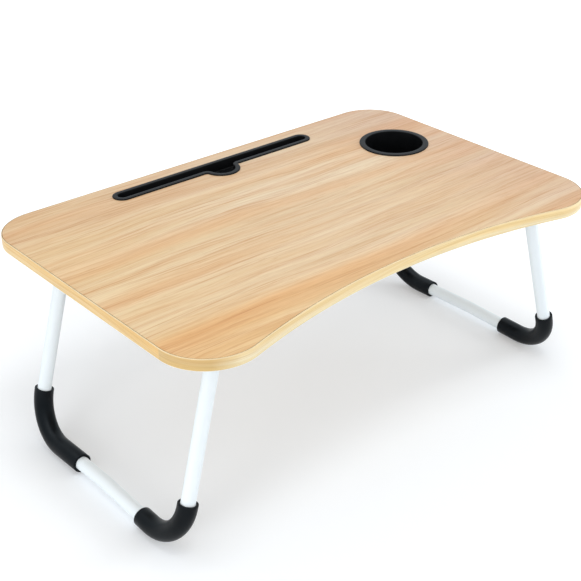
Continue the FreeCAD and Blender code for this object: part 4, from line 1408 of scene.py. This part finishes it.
@dataclass
class Studio:
    """The plain pale floor, the soft lights and the camera."""

    lens: float = 73.57
    sensor: float = 36.0
    eye: Vector = Vector((-0.8084, -0.9484, 0.8393))
    aim: Vector = Vector((-0.1041, -0.1672, 0.2536))
    roll: float = 0.34
    shift_x: float = -0.073
    view_end: float = 100.0
    floor_size: float = 30.0
    floor_depth: float = 0.1 * MM
    floor_colour: Colour = (0.760, 0.798, 0.835)
    glow_colour: Colour = (1, 0.99, 0.98)
    glow_near: Ramp = Ramp(0.33, 0.66, 0.255, 0.49)
    glow_far: Ramp = Ramp(0.70, 2.50, 0.0, 0.30)
    lamps: tuple[Lamp, ...] = (Lamp("left_lamp", Vector((-2.70, -1.00, 0.75)), 1.2, 29.0),
                               Lamp("right_lamp", Vector((2.20, -1.30, 0.70)), 1.2, 26.0),
                               Lamp("top_lamp", Vector((-0.10, -0.70, 3.00)), 0.9, 14.0))
    world_light: float = 0.70
    mirrored_colour: Colour = (0.86, 0.94, 1)
    mirrored_ring: Ramp = Ramp(0.30, 0.60, 0.90, 1.20)
    mirrored_above: Ramp = Ramp(0.70, 0.95, 0.0, 2.2)

    def build(self) -> None:
        """Set the stage."""
        self.lay_floor()
        for lamp in self.lamps:
            lamp.hang()
        self.light_world()
        self.set_camera()
        bpy.context.scene.view_settings.view_transform = "Standard"

    def lay_floor(self) -> None:
        """Lay the floor, which shows white to the camera away from the shadow through a painted glow that
        only the camera and shiny surfaces see.
        """
        bpy.ops.mesh.primitive_plane_add(size=self.floor_size, location=(0, 0, -self.floor_depth))
        floor = bpy.context.object
        floor.name = "studio_floor"
        made = bpy.data.materials.new("studio_floor")
        made.use_nodes = True
        made.node_tree.nodes.clear()
        wiring = Wiring(made.node_tree)
        spot = wiring.add("TexCoord").outputs["Object"]
        reach = wiring.add("VectorMath", {0: spot}, operation="LENGTH").outputs["Value"]
        # The glow is painted light. It is weakest within a third of a metre of the middle, so the floor round
        # the table shows darker, and it grows stronger farther out.
        glows = [ramp.over(wiring, reach) for ramp in (self.glow_near, self.glow_far)]
        rays = wiring.add("LightPath").outputs
        seen = wiring.maths("MAXIMUM", rays["Is Camera Ray"], rays["Is Glossy Ray"])
        seen = wiring.maths("MAXIMUM", seen, rays["Is Transmission Ray"])
        matt = wiring.add("BsdfDiffuse", {"Color": (*self.floor_colour, 1)}).outputs[0]
        glow = wiring.add("Emission", {"Color": (*self.glow_colour, 1),
                                       "Strength": wiring.maths("ADD", *glows)}).outputs[0]
        lit = wiring.add("AddShader", {0: matt, 1: glow}).outputs[0]
        shown = wiring.add("MixShader", {0: seen, 1: matt, 2: lit}).outputs[0]
        clear = wiring.add("BsdfTransparent").outputs[0]
        below = wiring.add("NewGeometry").outputs["Backfacing"]
        both = wiring.add("MixShader", {0: below, 1: shown, 2: clear}).outputs[0]
        wiring.add("OutputMaterial", {"Surface": both})
        floor.data.materials.append(made)

    def light_world(self) -> None:
        """Set an even world, white to the camera, with a ring and a pale ceiling for shiny surfaces."""
        world = bpy.data.worlds.new("studio_world")
        world.use_nodes = True
        world.node_tree.nodes.clear()
        wiring = Wiring(world.node_tree)
        rays = wiring.add("LightPath").outputs
        seen = wiring.maths("MAXIMUM", rays["Is Camera Ray"], rays["Is Transmission Ray"])
        direct = wiring.spread(seen, 0, 1, self.world_light, 1.0)
        height = wiring.add("SeparateXYZ", {0: wiring.add("TexCoord").outputs["Generated"]}).outputs[2]
        levels = [ramp.over(wiring, height) for ramp in (self.mirrored_ring, self.mirrored_above)]
        mirrored = wiring.maths("ADD", *levels)
        strength = wiring.spread(rays["Is Glossy Ray"], 0, 1, direct, mirrored)
        colour = wiring.mix(rays["Is Glossy Ray"], WHITE, (*self.mirrored_colour, 1))
        sky = wiring.add("Background", {"Color": colour, "Strength": strength})
        wiring.add("OutputWorld", {"Surface": sky.outputs[0]})
        bpy.context.scene.world = world

    def set_camera(self) -> None:
        """Set the camera at the photograph's viewing angle."""
        bpy.ops.object.camera_add(location=self.eye)
        camera = bpy.context.object
        camera.name = "main_camera"
        turn = (self.aim - self.eye).to_track_quat("-Z", "Y").to_matrix().to_4x4()
        camera.matrix_world = (Matrix.Translation(self.eye) @ turn
                               @ Matrix.Rotation(math.radians(self.roll), 4, "Z"))
        camera.data.lens = self.lens
        camera.data.sensor_width = self.sensor
        camera.data.shift_x = self.shift_x
        camera.data.clip_end = self.view_end
        bpy.context.scene.camera = camera


SLEEVE_RUNS = {
    Side.LEFT: {End.FRONT: (3 * MM, 16.5 * MM), End.BACK: (0.5 * MM, 45 * MM)},
    Side.RIGHT: {End.FRONT: (6.5 * MM, 27 * MM), End.BACK: (3 * MM, 24 * MM)},
}


def main() -> None:
    """Build the table, piece by piece, and the studio round it."""
    logging.basicConfig(level=logging.INFO, format="%(name)s %(message)s")
    bpy.ops.object.select_all(action="DESELECT")
    top = TableTop()
    top.build()
    TabletSlot(top).build()
    CupHolder().build()
    for side in Side:
        Leg(side, LegLine(), SLEEVE_RUNS[side]).build()
        for end in End:
            Hinge(side, end, LegLine()).build()
    Studio().build()


if __name__ == "__main__":
    main()
